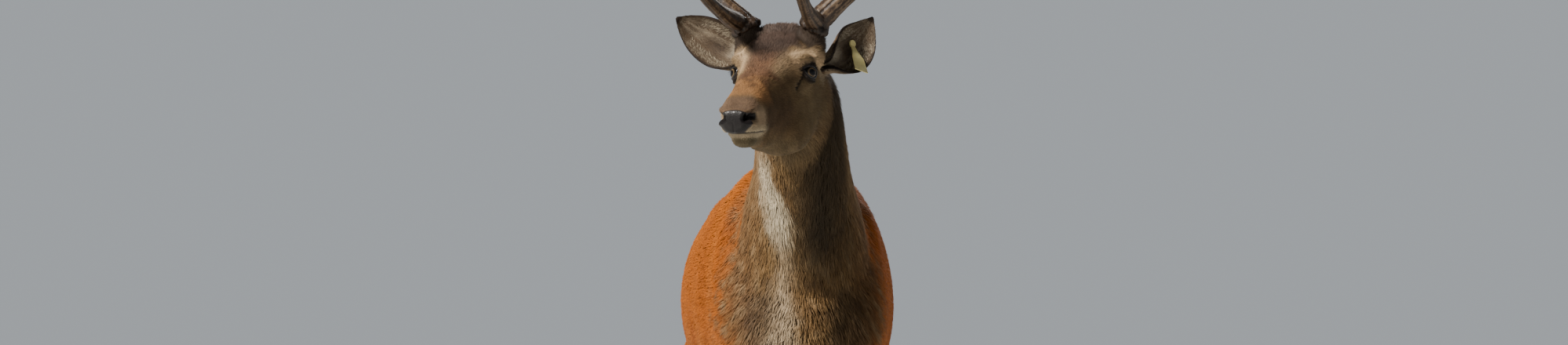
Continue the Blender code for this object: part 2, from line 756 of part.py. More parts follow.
def tag_panel(stations, flat):
    """A bent plate through stations of centre and half width. flat is across the plate."""
    rings = []
    for i, (centre, half_width) in enumerate(stations):
        before, after = stations[max(i - 1, 0)][0], stations[min(i + 1, len(stations) - 1)][0]
        face = (after - before).cross(flat).normalized() * TAG_THICKNESS / 2
        wide = flat * half_width
        rings.append([centre + wide + face, centre - wide + face, centre - wide - face, centre + wide - face])
    return loft(rings)


def tag_axis():
    """The pin's line through the ear: its start on the inside, its start on the back, and its way out."""
    share, turn = TAG_PLACE
    numbers = ear_section(share)
    inside = ear_point(1, turn, numbers[3], numbers)
    back = ear_point(1, turn, 0.0, numbers)
    return inside, back, (inside - back).normalized()


def build_tag(ear):
    """Two yellow plates joined by a pin through the left ear, each hanging from its button."""
    inside, back, out = tag_axis()
    pin_hole = cutter("pin_hole", disc(back - out * 0.010, out, 0.0025 + GAP, 0.020, corners=8))
    boolean(ear, pin_hole, "DIFFERENCE")
    bpy.data.objects.remove(pin_hole)
    for name, start, way in (("ear_tag_front", inside, out), ("ear_tag_back", back, -out)):
        drop, length, swing = TAG_PLATES[name]
        down = head_direction(*drop)
        down = (down - way * down.dot(way)).normalized()
        flat = down.cross(way).normalized()
        top = start + way * 0.0038
        stations = [
            (top + down * length * share + way * swing * hang, half_width)
            for share, hang, half_width in (
                (-0.10, -0.02, 0.0045),
                (0.07, 0.06, 0.0050),
                (0.27, 0.30, 0.0065),
                (0.53, 0.62, 0.0135),
                (1.00, 1.00, 0.0155),
            )
        ]
        tag = new_object(name, tag_panel(stations, flat), TAG)
        additions = [disc(top - way * 0.0004, way, 0.0070, 0.0030)]
        if name == "ear_tag_front":
            reach = (top - back).length + 0.0025
            additions.append(disc(back - out * 0.0020, out, 0.0025, reach, corners=8))
        for mesh in additions:
            extra = cutter("extra", mesh)
            boolean(tag, extra, "UNION")
            bpy.data.objects.remove(extra)


# ---- booleans and cuts ---------------------------------------------------------------


def boolean(obj, other, operation):
    modifier = obj.modifiers.new(operation.lower(), "BOOLEAN")
    modifier.operation = operation
    modifier.solver = "EXACT"
    modifier.object = other
    mesh = evaluated_mesh(obj)
    obj.modifiers.clear()
    obj.data = mesh
    obj.matrix_world = Matrix.Identity(4)


def cutter(name, mesh):
    return new_object(name, mesh, collection=HELPERS)


def cut(bm, point, normal, cap=True):
    """Keeps what lies behind the plane, away from its normal, and closes the cut."""
    bmesh.ops.bisect_plane(
        bm,
        geom=bm.verts[:] + bm.edges[:] + bm.faces[:],
        plane_co=point,
        plane_no=normal,
        dist=1e-6,
        clear_outer=True,
    )
    if cap:
        rim = [edge for edge in bm.edges if edge.is_boundary]
        bmesh.ops.holes_fill(bm, edges=rim, sides=0)


def decimated(mesh, target):
    """The mesh collapsed to about so many triangles."""
    mesh.calc_loop_triangles()
    holder = new_object("decimating", mesh, collection=HELPERS)
    modifier = holder.modifiers.new("decimate", "DECIMATE")
    modifier.ratio = min(1.0, target / len(mesh.loop_triangles))
    found = evaluated_mesh(holder)
    bpy.data.objects.remove(holder)
    return found


def flesh_node(name, flesh, planes, target, look, margin=0.04, within=None):
    """One named part of the flesh: what lies behind all the planes, at its own fineness.

    It is cut roughly first, collapsed to its triangles, and then cut true and capped,
    so that neighbours meet in one plane with the gap between them.
    """
    bm = bmesh.new()
    bm.from_mesh(flesh)
    if within:
        outside = [v for v in bm.verts if not within(v.co)]
        bmesh.ops.delete(bm, geom=outside, context="VERTS")
    for point, normal in planes:
        cut(bm, Vector(point) + Vector(normal).normalized() * margin, normal, cap=False)
    rough = bpy.data.meshes.new(name)
    bm.to_mesh(rough)
    bm.free()
    rough = decimated(rough, target)
    bm = bmesh.new()
    bm.from_mesh(rough)
    for point, normal in planes:
        cut(bm, Vector(point) - Vector(normal).normalized() * GAP / 2, normal)
    bmesh.ops.triangulate(bm, faces=bm.faces)
    bmesh.ops.recalc_face_normals(bm, faces=bm.faces)
    mesh = bpy.data.meshes.new(name)
    bm.to_mesh(mesh)
    bm.free()
    mesh.shade_smooth()
    return new_object(name, mesh, look)


def joined(meshes):
    bm = bmesh.new()
    for mesh in meshes:
        bm.from_mesh(mesh)
    mesh = bpy.data.meshes.new("blocks")
    bm.to_mesh(mesh)
    bm.free()
    return mesh


def blended_flesh(forms):
    """All the forms made one skin by a voxel remesh, then softened, most on the trunk."""
    holder = new_object("flesh", joined(forms), collection=HELPERS)
    remesh = holder.modifiers.new("remesh", "REMESH")
    remesh.mode = "VOXEL"
    remesh.voxel_size = VOXEL
    holder.data = evaluated_mesh(holder)
    holder.modifiers.clear()
    trunk = holder.vertex_groups.new(name="trunk")
    face = holder.vertex_groups.new(name="face")
    for vertex in holder.data.vertices:
        above_legs = (vertex.co.z - 0.70) / 0.10
        behind_head = (vertex.co.y + 0.42) / 0.10
        trunk.add([vertex.index], max(0.0, min(1.0, above_legs, behind_head)), "REPLACE")
        face.add([vertex.index], max(0.0, min(1.0, -behind_head)), "REPLACE")
    for name, group, repeat in (("soften", "trunk", 56), ("blend", "face", 5), ("smooth", "", 5)):
        smooth = holder.modifiers.new(name, "SMOOTH")
        smooth.factor = 0.5
        smooth.iterations = repeat
        smooth.vertex_group = group
    mesh = evaluated_mesh(holder)
    bpy.data.objects.remove(holder)
    return mesh


# ---- building ------------------------------------------------------------------------

# Each cut is a point and a direction towards the smaller part.
HEAD_BACK = HEAD_FRAME.to_3x3() @ Vector((0, 0.93, -0.36))
NECK_TOP_CUT = (on_head(0.0, -0.118, 0.0), -HEAD_BACK.normalized())
NECK_BASE_CUT = (Vector((0.0, -0.105, 1.078)), Vector((0.0, -0.70, 0.71)).normalized())


def reversed_cut(plane):
    return (plane[0], -plane[1])


def foot_of(pair, side):
    """The middle of the coronet of one foot."""
    rows, steps = (FORE_ROWS, FORE_STEP) if pair == "fore" else (HIND_ROWS, HIND_STEP)
    return Vector(leg_rows(rows, side, steps[side])[-2][:3])


def build_leg(flesh, pair, side, hand):
    down, up = (0, 0, -1), (0, 0, 1)
    middle_cut = CARPUS_CUT if pair == "fore" else HOCK_CUT
    foot = foot_of(pair, side)
    coronet = ((foot.x, foot.y, CORONET_HEIGHT), Vector((0.0, -0.26, -1.0)).normalized())

    def mine(point):
        return point.x * side > 0 and (point.y > 0.45) == (pair == "hind") and point.z < LEG_TOP + 0.05

    name = f"{pair}leg_{hand}"
    upper = [((0, 0, LEG_TOP), up), ((0, 0, middle_cut), down)]
    flesh_node(name + "_upper", flesh, upper, 150, COAT, within=mine)
    planes = [((0, 0, middle_cut), up), coronet]
    lower = flesh_node(name + "_lower", flesh, planes, 190, GREY_COAT, within=mine)
    for inner, place in ((True, "inner"), (False, "outer")):
        claw = new_object(f"{pair}hoof_{hand}_{place}", hoof_claw(foot, side, inner), HORN)
        bm = bmesh.new()
        bm.from_mesh(claw.data)
        point, normal = reversed_cut(coronet)
        cut(bm, Vector(point) - normal * GAP / 2, normal)
        bmesh.ops.triangulate(bm, faces=bm.faces)
        bm.to_mesh(claw.data)
        bm.free()
        spur = new_object(f"{pair}dewclaw_{hand}_{place}", dewclaw(foot, side, inner), HORN)
        seat = cutter("dewclaw_seat", thickened(spur.data, GAP))
        boolean(lower, seat, "DIFFERENCE")
        bpy.data.objects.remove(seat)


def build_flesh():
    flesh = blended_flesh(trunk_forms() + leg_forms() + head_forms())
    head = flesh_node(
        "head", flesh, [reversed_cut(NECK_TOP_CUT)], 1150, GREY_COAT, within=lambda p: p.y < -0.36
    )
    flesh_node("neck", flesh, [NECK_TOP_CUT, reversed_cut(NECK_BASE_CUT)], 380, GREY_COAT)
    above_legs = ((0, 0, LEG_TOP), (0, 0, -1))
    trunk = flesh_node("trunk", flesh, [NECK_BASE_CUT, above_legs], 1000, COAT)
    for side, hand in ((-1, "right"), (1, "left")):
        for pair in ("fore", "hind"):
            build_leg(flesh, pair, side, hand)
    tail_mesh = limb_loft(TAIL_ROWS, steps=2, corners=8)
    tail_mesh.shade_smooth()
    new_object("tail", tail_mesh, COAT)
    seat = cutter("tail_seat", thickened(tail_mesh, 2 * GAP))
    boolean(trunk, seat, "DIFFERENCE")
    bpy.data.objects.remove(seat)
    return head


def build_head_pieces(head):
    nose = new_object("nose", head.data.copy(), NOSE)
    block = cutter("nose_block", nose_block())
    boolean(nose, block, "INTERSECT")
    bpy.data.objects.remove(block)
    block = cutter("nose_seat", nose_block(GAP))
    boolean(head, block, "DIFFERENCE")
    bpy.data.objects.remove(block)
    for side, hand in ((-1, "right"), (1, "left")):
        new_object(f"eye_{hand}", eye_mesh(side), EYE)
        ear = ear_mesh(side)
        ear_object = new_object(f"ear_{hand}", ear, GREY_COAT)
        for mesh in (
            eye_mesh(side, GAP),
            eye_opening(side),
            thickened(ear, GAP),
            collar(side, burr_profile(GAP, headroom=0.05)),
        ):
            seat = cutter("seat", mesh)
            boolean(head, seat, "DIFFERENCE")
            bpy.data.objects.remove(seat)
        build_antler(side, hand)
        if side == 1:
            build_tag(ear_object)


def centre_over_origin():
    """Moves the stag sideways and lengthways, to bring its bounding box's middle over the origin."""
    corners = [vertex.co for obj in STAG.objects for vertex in obj.data.vertices]
    spans = [(min(c[i] for c in corners), max(c[i] for c in corners)) for i in (0, 1)]
    shift = Vector((-sum(spans[0]) / 2, -sum(spans[1]) / 2, 0.0))
    for obj in STAG.objects:
        obj.data.transform(Matrix.Translation(shift))
    return shift


build_head_pieces(build_flesh())
ORIGIN_SHIFT = centre_over_origin()
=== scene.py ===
import math

import bmesh
import bpy
import numpy as np
from mathutils import Matrix, Vector
from mathutils.kdtree import KDTree


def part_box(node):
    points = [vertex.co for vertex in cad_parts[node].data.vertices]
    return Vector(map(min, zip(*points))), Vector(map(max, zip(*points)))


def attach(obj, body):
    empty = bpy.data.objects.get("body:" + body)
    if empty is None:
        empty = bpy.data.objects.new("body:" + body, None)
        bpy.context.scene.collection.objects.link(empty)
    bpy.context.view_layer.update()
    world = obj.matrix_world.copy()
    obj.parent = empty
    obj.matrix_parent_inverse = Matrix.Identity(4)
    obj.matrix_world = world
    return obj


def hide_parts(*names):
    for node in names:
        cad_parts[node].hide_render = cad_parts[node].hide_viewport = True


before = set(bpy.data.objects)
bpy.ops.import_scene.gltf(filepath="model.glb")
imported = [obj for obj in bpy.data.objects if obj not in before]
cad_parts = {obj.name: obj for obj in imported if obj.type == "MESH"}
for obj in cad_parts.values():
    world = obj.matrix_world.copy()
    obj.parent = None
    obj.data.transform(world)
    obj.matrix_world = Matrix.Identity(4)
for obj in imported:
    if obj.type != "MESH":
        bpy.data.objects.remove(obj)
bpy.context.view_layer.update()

# ---- Flesh ---------------------------------------------------------------------------------
# The body under the coat: barrel, neck, legs and head blocked in from rings and muscle forms,
# run together into one closed form, and softened as a sculptor would with a soft rake.
# The stag faces -Y, its left side is +X, and its soles stand on z = 0.

HEAD_YAW = math.radians(19.5)
HEAD_PITCH = math.radians(2.1)
EYE_MIDPOINT = Vector((-0.081, -0.58, 1.352))
HEAD_TURN = Matrix.Rotation(-HEAD_YAW, 4, "Z") @ Matrix.Rotation(HEAD_PITCH, 4, "X")
HEAD_FRAME = Matrix.Translation(EYE_MIDPOINT) @ HEAD_TURN
FLESH_VOXEL = 0.004
SIDES = (-1, 1)
HANDS = ((-1, "right"), (1, "left"))

# y, top, bottom, half width, height of the widest point
TRUNK_STATIONS = [
    (-0.262, 0.925, 0.815, 0.050, 0.870),
    (-0.225, 1.010, 0.765, 0.105, 0.880),
    (-0.150, 1.110, 0.728, 0.146, 0.900),
    (-0.050, 1.190, 0.702, 0.168, 0.920),
    (0.050, 1.228, 0.690, 0.180, 0.935),
    (0.130, 1.234, 0.686, 0.192, 0.940),
    (0.260, 1.216, 0.688, 0.203, 0.940),
    (0.400, 1.200, 0.698, 0.208, 0.945),
    (0.550, 1.198, 0.716, 0.206, 0.955),
    (0.680, 1.206, 0.746, 0.192, 0.970),
    (0.780, 1.212, 0.782, 0.180, 0.985),
    (0.870, 1.204, 0.830, 0.168, 1.000),
    (0.960, 1.174, 0.885, 0.142, 1.010),
    (1.030, 1.126, 0.940, 0.102, 1.020),
    (1.058, 1.080, 0.985, 0.050, 1.025),
]
# x, y, z, half width, half depth
NECK_ROWS = [
    (-0.046, -0.500, 1.332, 0.064, 0.080),
    (-0.031, -0.430, 1.305, 0.080, 0.103),
    (-0.016, -0.330, 1.238, 0.086, 0.130),
    (-0.006, -0.220, 1.156, 0.097, 0.158),
    (0.000, -0.115, 1.062, 0.124, 0.202),
    (0.000, -0.035, 0.960, 0.150, 0.215),
]
# x outwards, y, z, half width, half depth, share of the step
FORE_ROWS = [
    (0.104, 0.030, 0.830, 0.045, 0.085, 0.0),
    (0.112, 0.040, 0.740, 0.046, 0.080, 0.0),
    (0.112, 0.038, 0.665, 0.043, 0.063, 0.1),
    (0.110, 0.027, 0.560, 0.034, 0.043, 0.3),
    (0.107, 0.018, 0.460, 0.026, 0.031, 0.5),
    (0.105, 0.012, 0.405, 0.031, 0.034, 0.6),
    (0.104, 0.016, 0.360, 0.026, 0.029, 0.65),
    (0.103, 0.022, 0.310, 0.0205, 0.0245, 0.7),
    (0.102, 0.026, 0.190, 0.0195, 0.0235, 0.85),
    (0.102, 0.024, 0.130, 0.027, 0.030, 0.95),
    (0.102, 0.010, 0.095, 0.0265, 0.028, 1.0),
    (0.102, -0.010, 0.060, 0.029, 0.031, 1.0),
    (0.102, -0.018, 0.040, 0.030, 0.032, 1.0),
]
HIND_ROWS = [
    (0.122, 0.815, 0.860, 0.072, 0.120, 0.0),
    (0.128, 0.815, 0.760, 0.062, 0.104, 0.0),
    (0.128, 0.860, 0.665, 0.048, 0.076, 0.1),
    (0.124, 0.930, 0.590, 0.034, 0.050, 0.3),
    (0.120, 0.995, 0.525, 0.027, 0.038, 0.5),
    (0.118, 1.014, 0.480, 0.028, 0.038, 0.6),
    (0.117, 1.008, 0.430, 0.024, 0.032, 0.65),
    (0.116, 1.000, 0.370, 0.0205, 0.0270, 0.7),
    (0.115, 0.986, 0.210, 0.0200, 0.0250, 0.85),
    (0.115, 0.978, 0.140, 0.027, 0.031, 0.95),
    (0.115, 0.962, 0.100, 0.0265, 0.028, 1.0),
    (0.115, 0.940, 0.062, 0.029, 0.031, 1.0),
    (0.115, 0.932, 0.040, 0.030, 0.032, 1.0),
]
TENDON_ROWS = [
    (0.122, 0.895, 0.740, 0.032, 0.044, 0.0),
    (0.122, 0.944, 0.655, 0.019, 0.034, 0.1),
    (0.120, 0.998, 0.585, 0.013, 0.025, 0.3),
    (0.118, 1.028, 0.535, 0.015, 0.021, 0.45),
    (0.117, 1.030, 0.500, 0.014, 0.020, 0.55),
    (0.117, 1.018, 0.470, 0.012, 0.018, 0.6),
]
FORE_STEP = {-1: -0.030, 1: 0.028}
HIND_STEP = {-1: 0.045, 1: -0.035}
TAIL_ROWS = [
    (0.000, 1.010, 1.118, 0.036, 0.030),
    (0.000, 1.050, 1.100, 0.034, 0.026),
    (0.000, 1.072, 1.050, 0.031, 0.021),
    (0.000, 1.070, 0.985, 0.025, 0.017),
    (0.000, 1.058, 0.940, 0.012, 0.010),
]
# forward, top, brow (x, z), cheekbone (x, z), cheek (x, z), jaw (x, z), bottom
HEAD_STATIONS = [
    (-0.150, 0.020, (0.030, 0.012), (0.045, -0.020), (0.045, -0.055), (0.030, -0.085), -0.092),
    (-0.122, 0.050, (0.040, 0.040), (0.062, 0.000), (0.062, -0.055), (0.042, -0.100), -0.112),
    (-0.090, 0.072, (0.044, 0.052), (0.067, 0.008), (0.066, -0.055), (0.044, -0.118), -0.132),
    (-0.060, 0.080, (0.046, 0.056), (0.069, 0.010), (0.066, -0.060), (0.044, -0.130), -0.146),
    (-0.030, 0.074, (0.046, 0.056), (0.071, 0.014), (0.067, -0.055), (0.042, -0.130), -0.150),
    (0.000, 0.058, (0.046, 0.052), (0.067, 0.014), (0.064, -0.050), (0.038, -0.122), -0.146),
    (0.035, 0.042, (0.035, 0.036), (0.055, -0.008), (0.055, -0.055), (0.034, -0.114), -0.138),
    (0.075, 0.022, (0.029, 0.017), (0.047, -0.018), (0.047, -0.060), (0.030, -0.110), -0.132),
    (0.115, 0.000, (0.025, -0.004), (0.040, -0.033), (0.040, -0.070), (0.027, -0.108), -0.128),
    (0.155, -0.021, (0.023, -0.025), (0.036, -0.048), (0.037, -0.080), (0.025, -0.108), -0.126),
    (0.190, -0.040, (0.024, -0.042), (0.036, -0.060), (0.036, -0.086), (0.024, -0.108), -0.120),
    (0.216, -0.053, (0.025, -0.055), (0.035, -0.070), (0.034, -0.090), (0.023, -0.108), -0.116),
    (0.234, -0.061, (0.023, -0.063), (0.031, -0.076), (0.029, -0.092), (0.018, -0.107), -0.113),
    (0.245, -0.070, (0.015, -0.071), (0.021, -0.080), (0.019, -0.092), (0.012, -0.102), -0.105),
]
# x outwards, forward, up, radius
PEDICLE_ROWS = [
    (0.052, -0.044, 0.026, 0.036),
    (0.060, -0.050, 0.046, 0.027),
    (0.061, -0.050, 0.066, 0.0230),
    (0.061, -0.050, 0.088, 0.0220),
]


def on_head(x, forward, up):
    """A place given in the head's own frame: to the stag's left, towards the nose, up."""
    return HEAD_FRAME @ Vector((x, -forward, up))


def head_way(x, forward, up):
    """A direction given in the head's own frame."""
    return (HEAD_FRAME.to_3x3() @ Vector((x, -forward, up))).normalized()


def smooth_rows(rows, steps):
    """Catmull-Rom through rows of numbers."""
    rows = np.array(rows, float)
    padded = np.vstack([rows[:1], rows, rows[-1:]])
    found = []
    for p0, a, b, p3 in zip(padded, padded[1:], padded[2:], padded[3:]):
        for step in range(steps):
            t = step / steps
            cubic = (3 * a - p0 - 3 * b + p3) * t**3
            found.append(0.5 * (2 * a + (b - p0) * t + (2 * p0 - 5 * a + 4 * b - p3) * t * t + cubic))
    return [tuple(row) for row in found] + [tuple(rows[-1])]


def unit(vectors):
    return vectors / np.maximum(np.linalg.norm(vectors, axis=1, keepdims=True), 1e-9)


def made_mesh(bm, name, outwards=False):
    """The finished mesh of a bmesh, which is freed, with its faces turned outwards if asked."""
    if outwards:
        bmesh.ops.recalc_face_normals(bm, faces=bm.faces)
    mesh = bpy.data.meshes.new(name)
    bm.to_mesh(mesh)
    bm.free()
    return mesh


def join_meshes(name, meshes):
    bm = bmesh.new()
    for mesh in meshes:
        bm.from_mesh(mesh)
        bpy.data.meshes.remove(mesh)
    return made_mesh(bm, name)


def loft(rings):
    """A closed form through rings of points, with a fan at each end."""
    bm = bmesh.new()
    made = [[bm.verts.new(point) for point in ring] for ring in rings]
    for low, high in zip(made, made[1:]):
        for i in range(len(low)):
            j = (i + 1) % len(low)
            bm.faces.new((low[i], low[j], high[j], high[i]))
    for ring in (made[0], made[-1]):
        middle = bm.verts.new(sum((v.co for v in ring), Vector()) / len(ring))
        for i in range(len(ring)):
            bm.faces.new((ring[i], ring[(i + 1) % len(ring)], middle))
    return made_mesh(bm, "loft", outwards=True)


def limb_loft(rows, steps=4, corners=20):
    """A limb through rows of x, y, z, half width and half depth."""
    rows = smooth_rows(rows, steps)
    rings = []
    for i, row in enumerate(rows):
        before, after = Vector(rows[max(i - 1, 0)][:3]), Vector(rows[min(i + 1, len(rows) - 1)][:3])
        along = (after - before).normalized()
        deep = along.cross(Vector((1, 0, 0))).normalized()
        wide = deep.cross(along)
        turns = [2 * math.pi * k / corners for k in range(corners)]
        rings.append(
            [Vector(row[:3]) + wide * row[3] * math.cos(t) + deep * row[4] * math.sin(t) for t in turns]
        )
    return loft(rings)


def muscle(centre, radii, tilt=0.0, turn=None):
    """A rounded form. tilt leans its top backwards, in degrees."""
    bm = bmesh.new()
    bmesh.ops.create_uvsphere(bm, u_segments=24, v_segments=12, radius=1.0)
    lean = Matrix.Rotation(math.radians(-tilt), 4, "X")
    bm.transform(
        Matrix.Translation(centre) @ (turn or Matrix.Identity(4)) @ lean @ Matrix.Diagonal((*radii, 1.0))
    )
    return made_mesh(bm, "muscle")


def barrel_ring(row, corners=36):
    y, top, bottom, half_width, middle = row
    ring = []
    for k in range(corners):
        turn = 2 * math.pi * k / corners
        reach = top - middle if math.sin(turn) > 0 else middle - bottom
        ring.append(Vector((half_width * math.cos(turn), y, middle + reach * math.sin(turn))))
    return ring


def face_ring(forward, numbers, steps=4):
    """A ring round the head through the top, four points down each side, and the bottom."""
    side = [tuple(numbers[i : i + 2]) for i in range(1, 9, 2)]
    outline = [(0.0, numbers[0]), *side, (0.0, numbers[-1]), *[(-x, z) for x, z in reversed(side)]]
    ring = smooth_rows(outline[-1:] + outline + outline[:2], steps)[steps : steps * (len(outline) + 1)]
    return [on_head(x, forward, z) for x, z in ring]


def leg_rows(rows, side, step):
    """A leg's rows on one side, with the foot carried forwards or back by its step."""
    return [(side * x, y + share * step, z, w, d) for x, y, z, w, d, share in rows]


forms = [loft([barrel_ring(row) for row in smooth_rows(TRUNK_STATIONS, 3)]), limb_loft(NECK_ROWS)]
forms.append(muscle((0, -0.190, 0.960), (0.092, 0.086, 0.180), 14))
forms.append(muscle((0, 0.580, 0.716), (0.026, 0.095, 0.026), 4))
forms.append(muscle((0, 0.800, 0.775), (0.030, 0.032, 0.050)))
forms.append(limb_loft(TAIL_ROWS, corners=16))
for side in SIDES:
    for x, y, z, radii, tilt in (
        (0.104, 0.030, 0.985, (0.060, 0.105, 0.165), -18),
        (0.098, -0.060, 0.895, (0.062, 0.120, 0.130), 0),
        (0.098, 0.055, 0.845, (0.062, 0.115, 0.150), -20),
        (0.086, 0.850, 0.970, (0.084, 0.190, 0.210), -12),
        (0.108, 0.810, 0.850, (0.078, 0.140, 0.185), -25),
        (0.084, 0.960, 0.930, (0.064, 0.095, 0.190), 6),
        (0.100, 0.900, 0.830, (0.054, 0.090, 0.165), -22),
        (0.086, 0.735, 1.116, (0.045, 0.095, 0.066), 0),
        (0.054, -0.160, 0.850, (0.058, 0.086, 0.110), 0),
    ):
        forms.append(muscle((side * x, y, z), radii, tilt))
    forms.append(limb_loft(leg_rows(FORE_ROWS, side, FORE_STEP[side])))
    forms.append(limb_loft(leg_rows(HIND_ROWS, side, HIND_STEP[side])))
    forms.append(limb_loft(leg_rows(TENDON_ROWS, side, HIND_STEP[side]), corners=12))
    forms.append(limb_loft([(*on_head(side * x, f, up), r, r) for x, f, up, r in PEDICLE_ROWS], 3))
face_rows = []
for forward, top, brow, bone, cheek, jaw, bottom in HEAD_STATIONS:
    face_rows.append((forward, top, *brow, *bone, *cheek, *jaw, bottom))
forms.append(loft([face_ring(row[0], row[1:]) for row in smooth_rows(face_rows, 3)]))
for side in SIDES:
    for x, forward, up, radii, tilt in (
        (0.056, -0.004, 0.021, (0.022, 0.040, 0.015), 8),
        (0.053, 0.002, -0.026, (0.013, 0.036, 0.013), -10),
        (0.0615, -0.0065, 0.0, (0.0212, 0.0212, 0.0195), 0),
        (0.035, -0.030, -0.082, (0.027, 0.075, 0.060), 0),
        (0.022, 0.222, -0.078, (0.015, 0.020, 0.017), 0),
        (0.024, 0.175, -0.096, (0.013, 0.055, 0.017), 0),
        (0.033, -0.058, 0.058, (0.018, 0.028, 0.020), 0),
    ):
        forms.append(muscle(on_head(side * x, forward, up), radii, tilt, HEAD_TURN))
for forward, up, radii, tilt in (
    (0.182, -0.121, (0.022, 0.032, 0.014), 4),
    (0.100, -0.120, (0.022, 0.090, 0.016), 2),
    (0.228, -0.086, (0.025, 0.018, 0.022), 0),
    (-0.066, 0.078, (0.036, 0.030, 0.014), 0),
):
    forms.append(muscle(on_head(0.0, forward, up), radii, tilt, HEAD_TURN))


def placed(name, data):
    """An object at the origin with this mesh, light or camera."""
    obj = bpy.data.objects.new(name, data)
    bpy.context.scene.collection.objects.link(obj)
    return obj


def applied(obj):
    """Bakes the object's modifiers into its mesh."""
    graph = bpy.context.evaluated_depsgraph_get()
    mesh = bpy.data.meshes.new_from_object(obj.evaluated_get(graph), depsgraph=graph)
    obj.modifiers.clear()
    obj.data = mesh


def points_of(mesh):
    found = np.empty(len(mesh.vertices) * 3)
    mesh.vertices.foreach_get("co", found)
    return found.reshape(-1, 3)


def weigh(obj, name, weights):
    """A vertex group with these weights, in twentieths."""
    group = obj.vertex_groups.new(name=name)
    levels = np.round(weights * 20).astype(int)
    for level in range(1, 21):
        group.add(np.nonzero(levels == level)[0].tolist(), level / 20, "REPLACE")


flesh = placed("flesh", join_meshes("flesh", forms))
remesh = flesh.modifiers.new("run together", "REMESH")
remesh.mode = "VOXEL"
remesh.voxel_size = FLESH_VOXEL
applied(flesh)
points = points_of(flesh.data)
on_trunk = np.clip(np.minimum((points[:, 2] - 0.70) / 0.10, (points[:, 1] + 0.42) / 0.10), 0, 1)
on_tail = np.clip((points[:, 1] - 1.035) / 0.02, 0, 1) * (points[:, 2] < 1.10)
weigh(flesh, "trunk", on_trunk * (1 - on_tail))
weigh(flesh, "face", np.clip(-(points[:, 1] + 0.42) / 0.10, 0, 1))
SMOOTHING_VOXEL = 0.005  # the counts of smoothing passes below belong to this size
finer = (SMOOTHING_VOXEL / FLESH_VOXEL) ** 2
for name, group, repeat in (("soften", "trunk", 56), ("blend", "face", 5), ("smooth", "", 5)):
    smooth = flesh.modifiers.new(name, "SMOOTH")
    smooth.factor = 0.5
    smooth.iterations = round(repeat * finer)
    smooth.vertex_group = group
applied(flesh)

# ---- Skin ----------------------------------------------------------------------------------
# One closed skin over the whole animal, as far inside the flesh as the coat is deep there.
# Lids, nostrils, the line of the mouth and the gland slit below the eye are drawn into it.

EYE_RADIUS = 0.0175
EYE_AXIS = Vector((0.80, 0.59, 0.02)).normalized()
EYE_APEX = Vector((0.0755, 0.004, 0.0))
EYE_SLANT = math.radians(24)
LID_HALF_LENGTH = 0.0172
NOSE_PAD = ((0.0, 0.243, -0.090), (0.0365, 0.0265, 0.0230))
NOSTRIL = (0.0266, 0.241, -0.0792)
GLAND_SLIT = [(0.0605, 0.019, -0.009), (0.0573, 0.025, -0.017), (0.0545, 0.036, -0.030)]
HEAD_INVERSE = np.array(HEAD_FRAME.inverted())
BODY_TRIANGLES = 78000


def head_places(points):
    """Points as x, forward and up in the head's own frame."""
    found = points @ HEAD_INVERSE[:3, :3].T + HEAD_INVERSE[:3, 3]
    return found * (1, -1, 1)


def ramp(values, low, high):
    """A smooth step from 0 at low to 1 at high."""
    t = np.clip((values - low) / (high - low), 0, 1)
    return t * t * (3 - 2 * t)


def hump(values, centre, width):
    """1 at the centre, and close to nothing two widths from it."""
    return np.exp(-(((values - centre) / width) ** 2))


def blob(places, centre, radii):
    """Distance from a rounded form's centre, counted in its radii."""
    return np.sqrt((((places - np.array(centre)) / np.array(radii)) ** 2).sum(axis=1))


def headness(points):
    """1 on the head, 0 on the neck and body."""
    places = head_places(points)
    return ramp(places[:, 1], -0.150, -0.095) * ramp(-points[:, 1], 0.38, 0.44)


def neckness(points):
    """1 on the neck, 0 on the head, and fading out over the chest and withers."""
    along = -0.70 * (points[:, 1] + 0.06) + 0.71 * (points[:, 2] - 1.06)
    return ramp(along, -0.10, 0.06) * (1 - headness(points))


def coat_depth(points):
    """How far the tips of the coat stand off the skin."""
    places = head_places(points)
    head, neck = headness(points), neckness(points)
    face = 0.0065 - 0.0035 * ramp(places[:, 1], -0.08, 0.01) - 0.0012 * ramp(places[:, 1], 0.08, 0.16)
    body = 0.0085 - 0.0060 * ramp(-points[:, 2], -0.70, -0.56)
    depth = body * (1 - neck) + 0.0125 * neck
    depth = depth * (1 - head) + face * head
    tail = ramp(points[:, 1], 1.030, 1.050) * ramp(points[:, 2], 0.93, 0.96)
    depth = depth * (1 - tail) + 0.0045 * tail
    stump = np.hypot(np.abs(places[:, 0]) - 0.061, places[:, 1] + 0.050)
    stump = ramp(-stump, -0.046, -0.034) * ramp(places[:, 2], 0.040, 0.060) * head
    depth = depth * (1 - stump) + 0.0012 * stump
    pad = 1 - ramp(blob(places, *NOSE_PAD), 0.95, 1.15)
    return depth * (1 - pad) + 0.0004 * pad


def eye_frame(side):
    """Centre of an eyeball, and its level, upright and outward directions."""
    axis = head_way(side * EYE_AXIS.x, EYE_AXIS.y, EYE_AXIS.z)
    centre = on_head(side * EYE_APEX.x, EYE_APEX.y, EYE_APEX.z) - axis * EYE_RADIUS
    level = Vector((0, 0, 1)).cross(axis).normalized()
    slant = Matrix.Rotation(-side * EYE_SLANT, 3, axis)
    return [np.array(v) for v in (centre, slant @ level, slant @ axis.cross(level), axis)]


def lid_heights(share):
    """Height of the upper and lower lid's edge at a share of the half length, -1 to 1."""
    arch = np.clip(1 - np.abs(share) ** 2.2, 0, None)
    return 0.0104 * arch**0.85, 0.0086 * arch**0.95


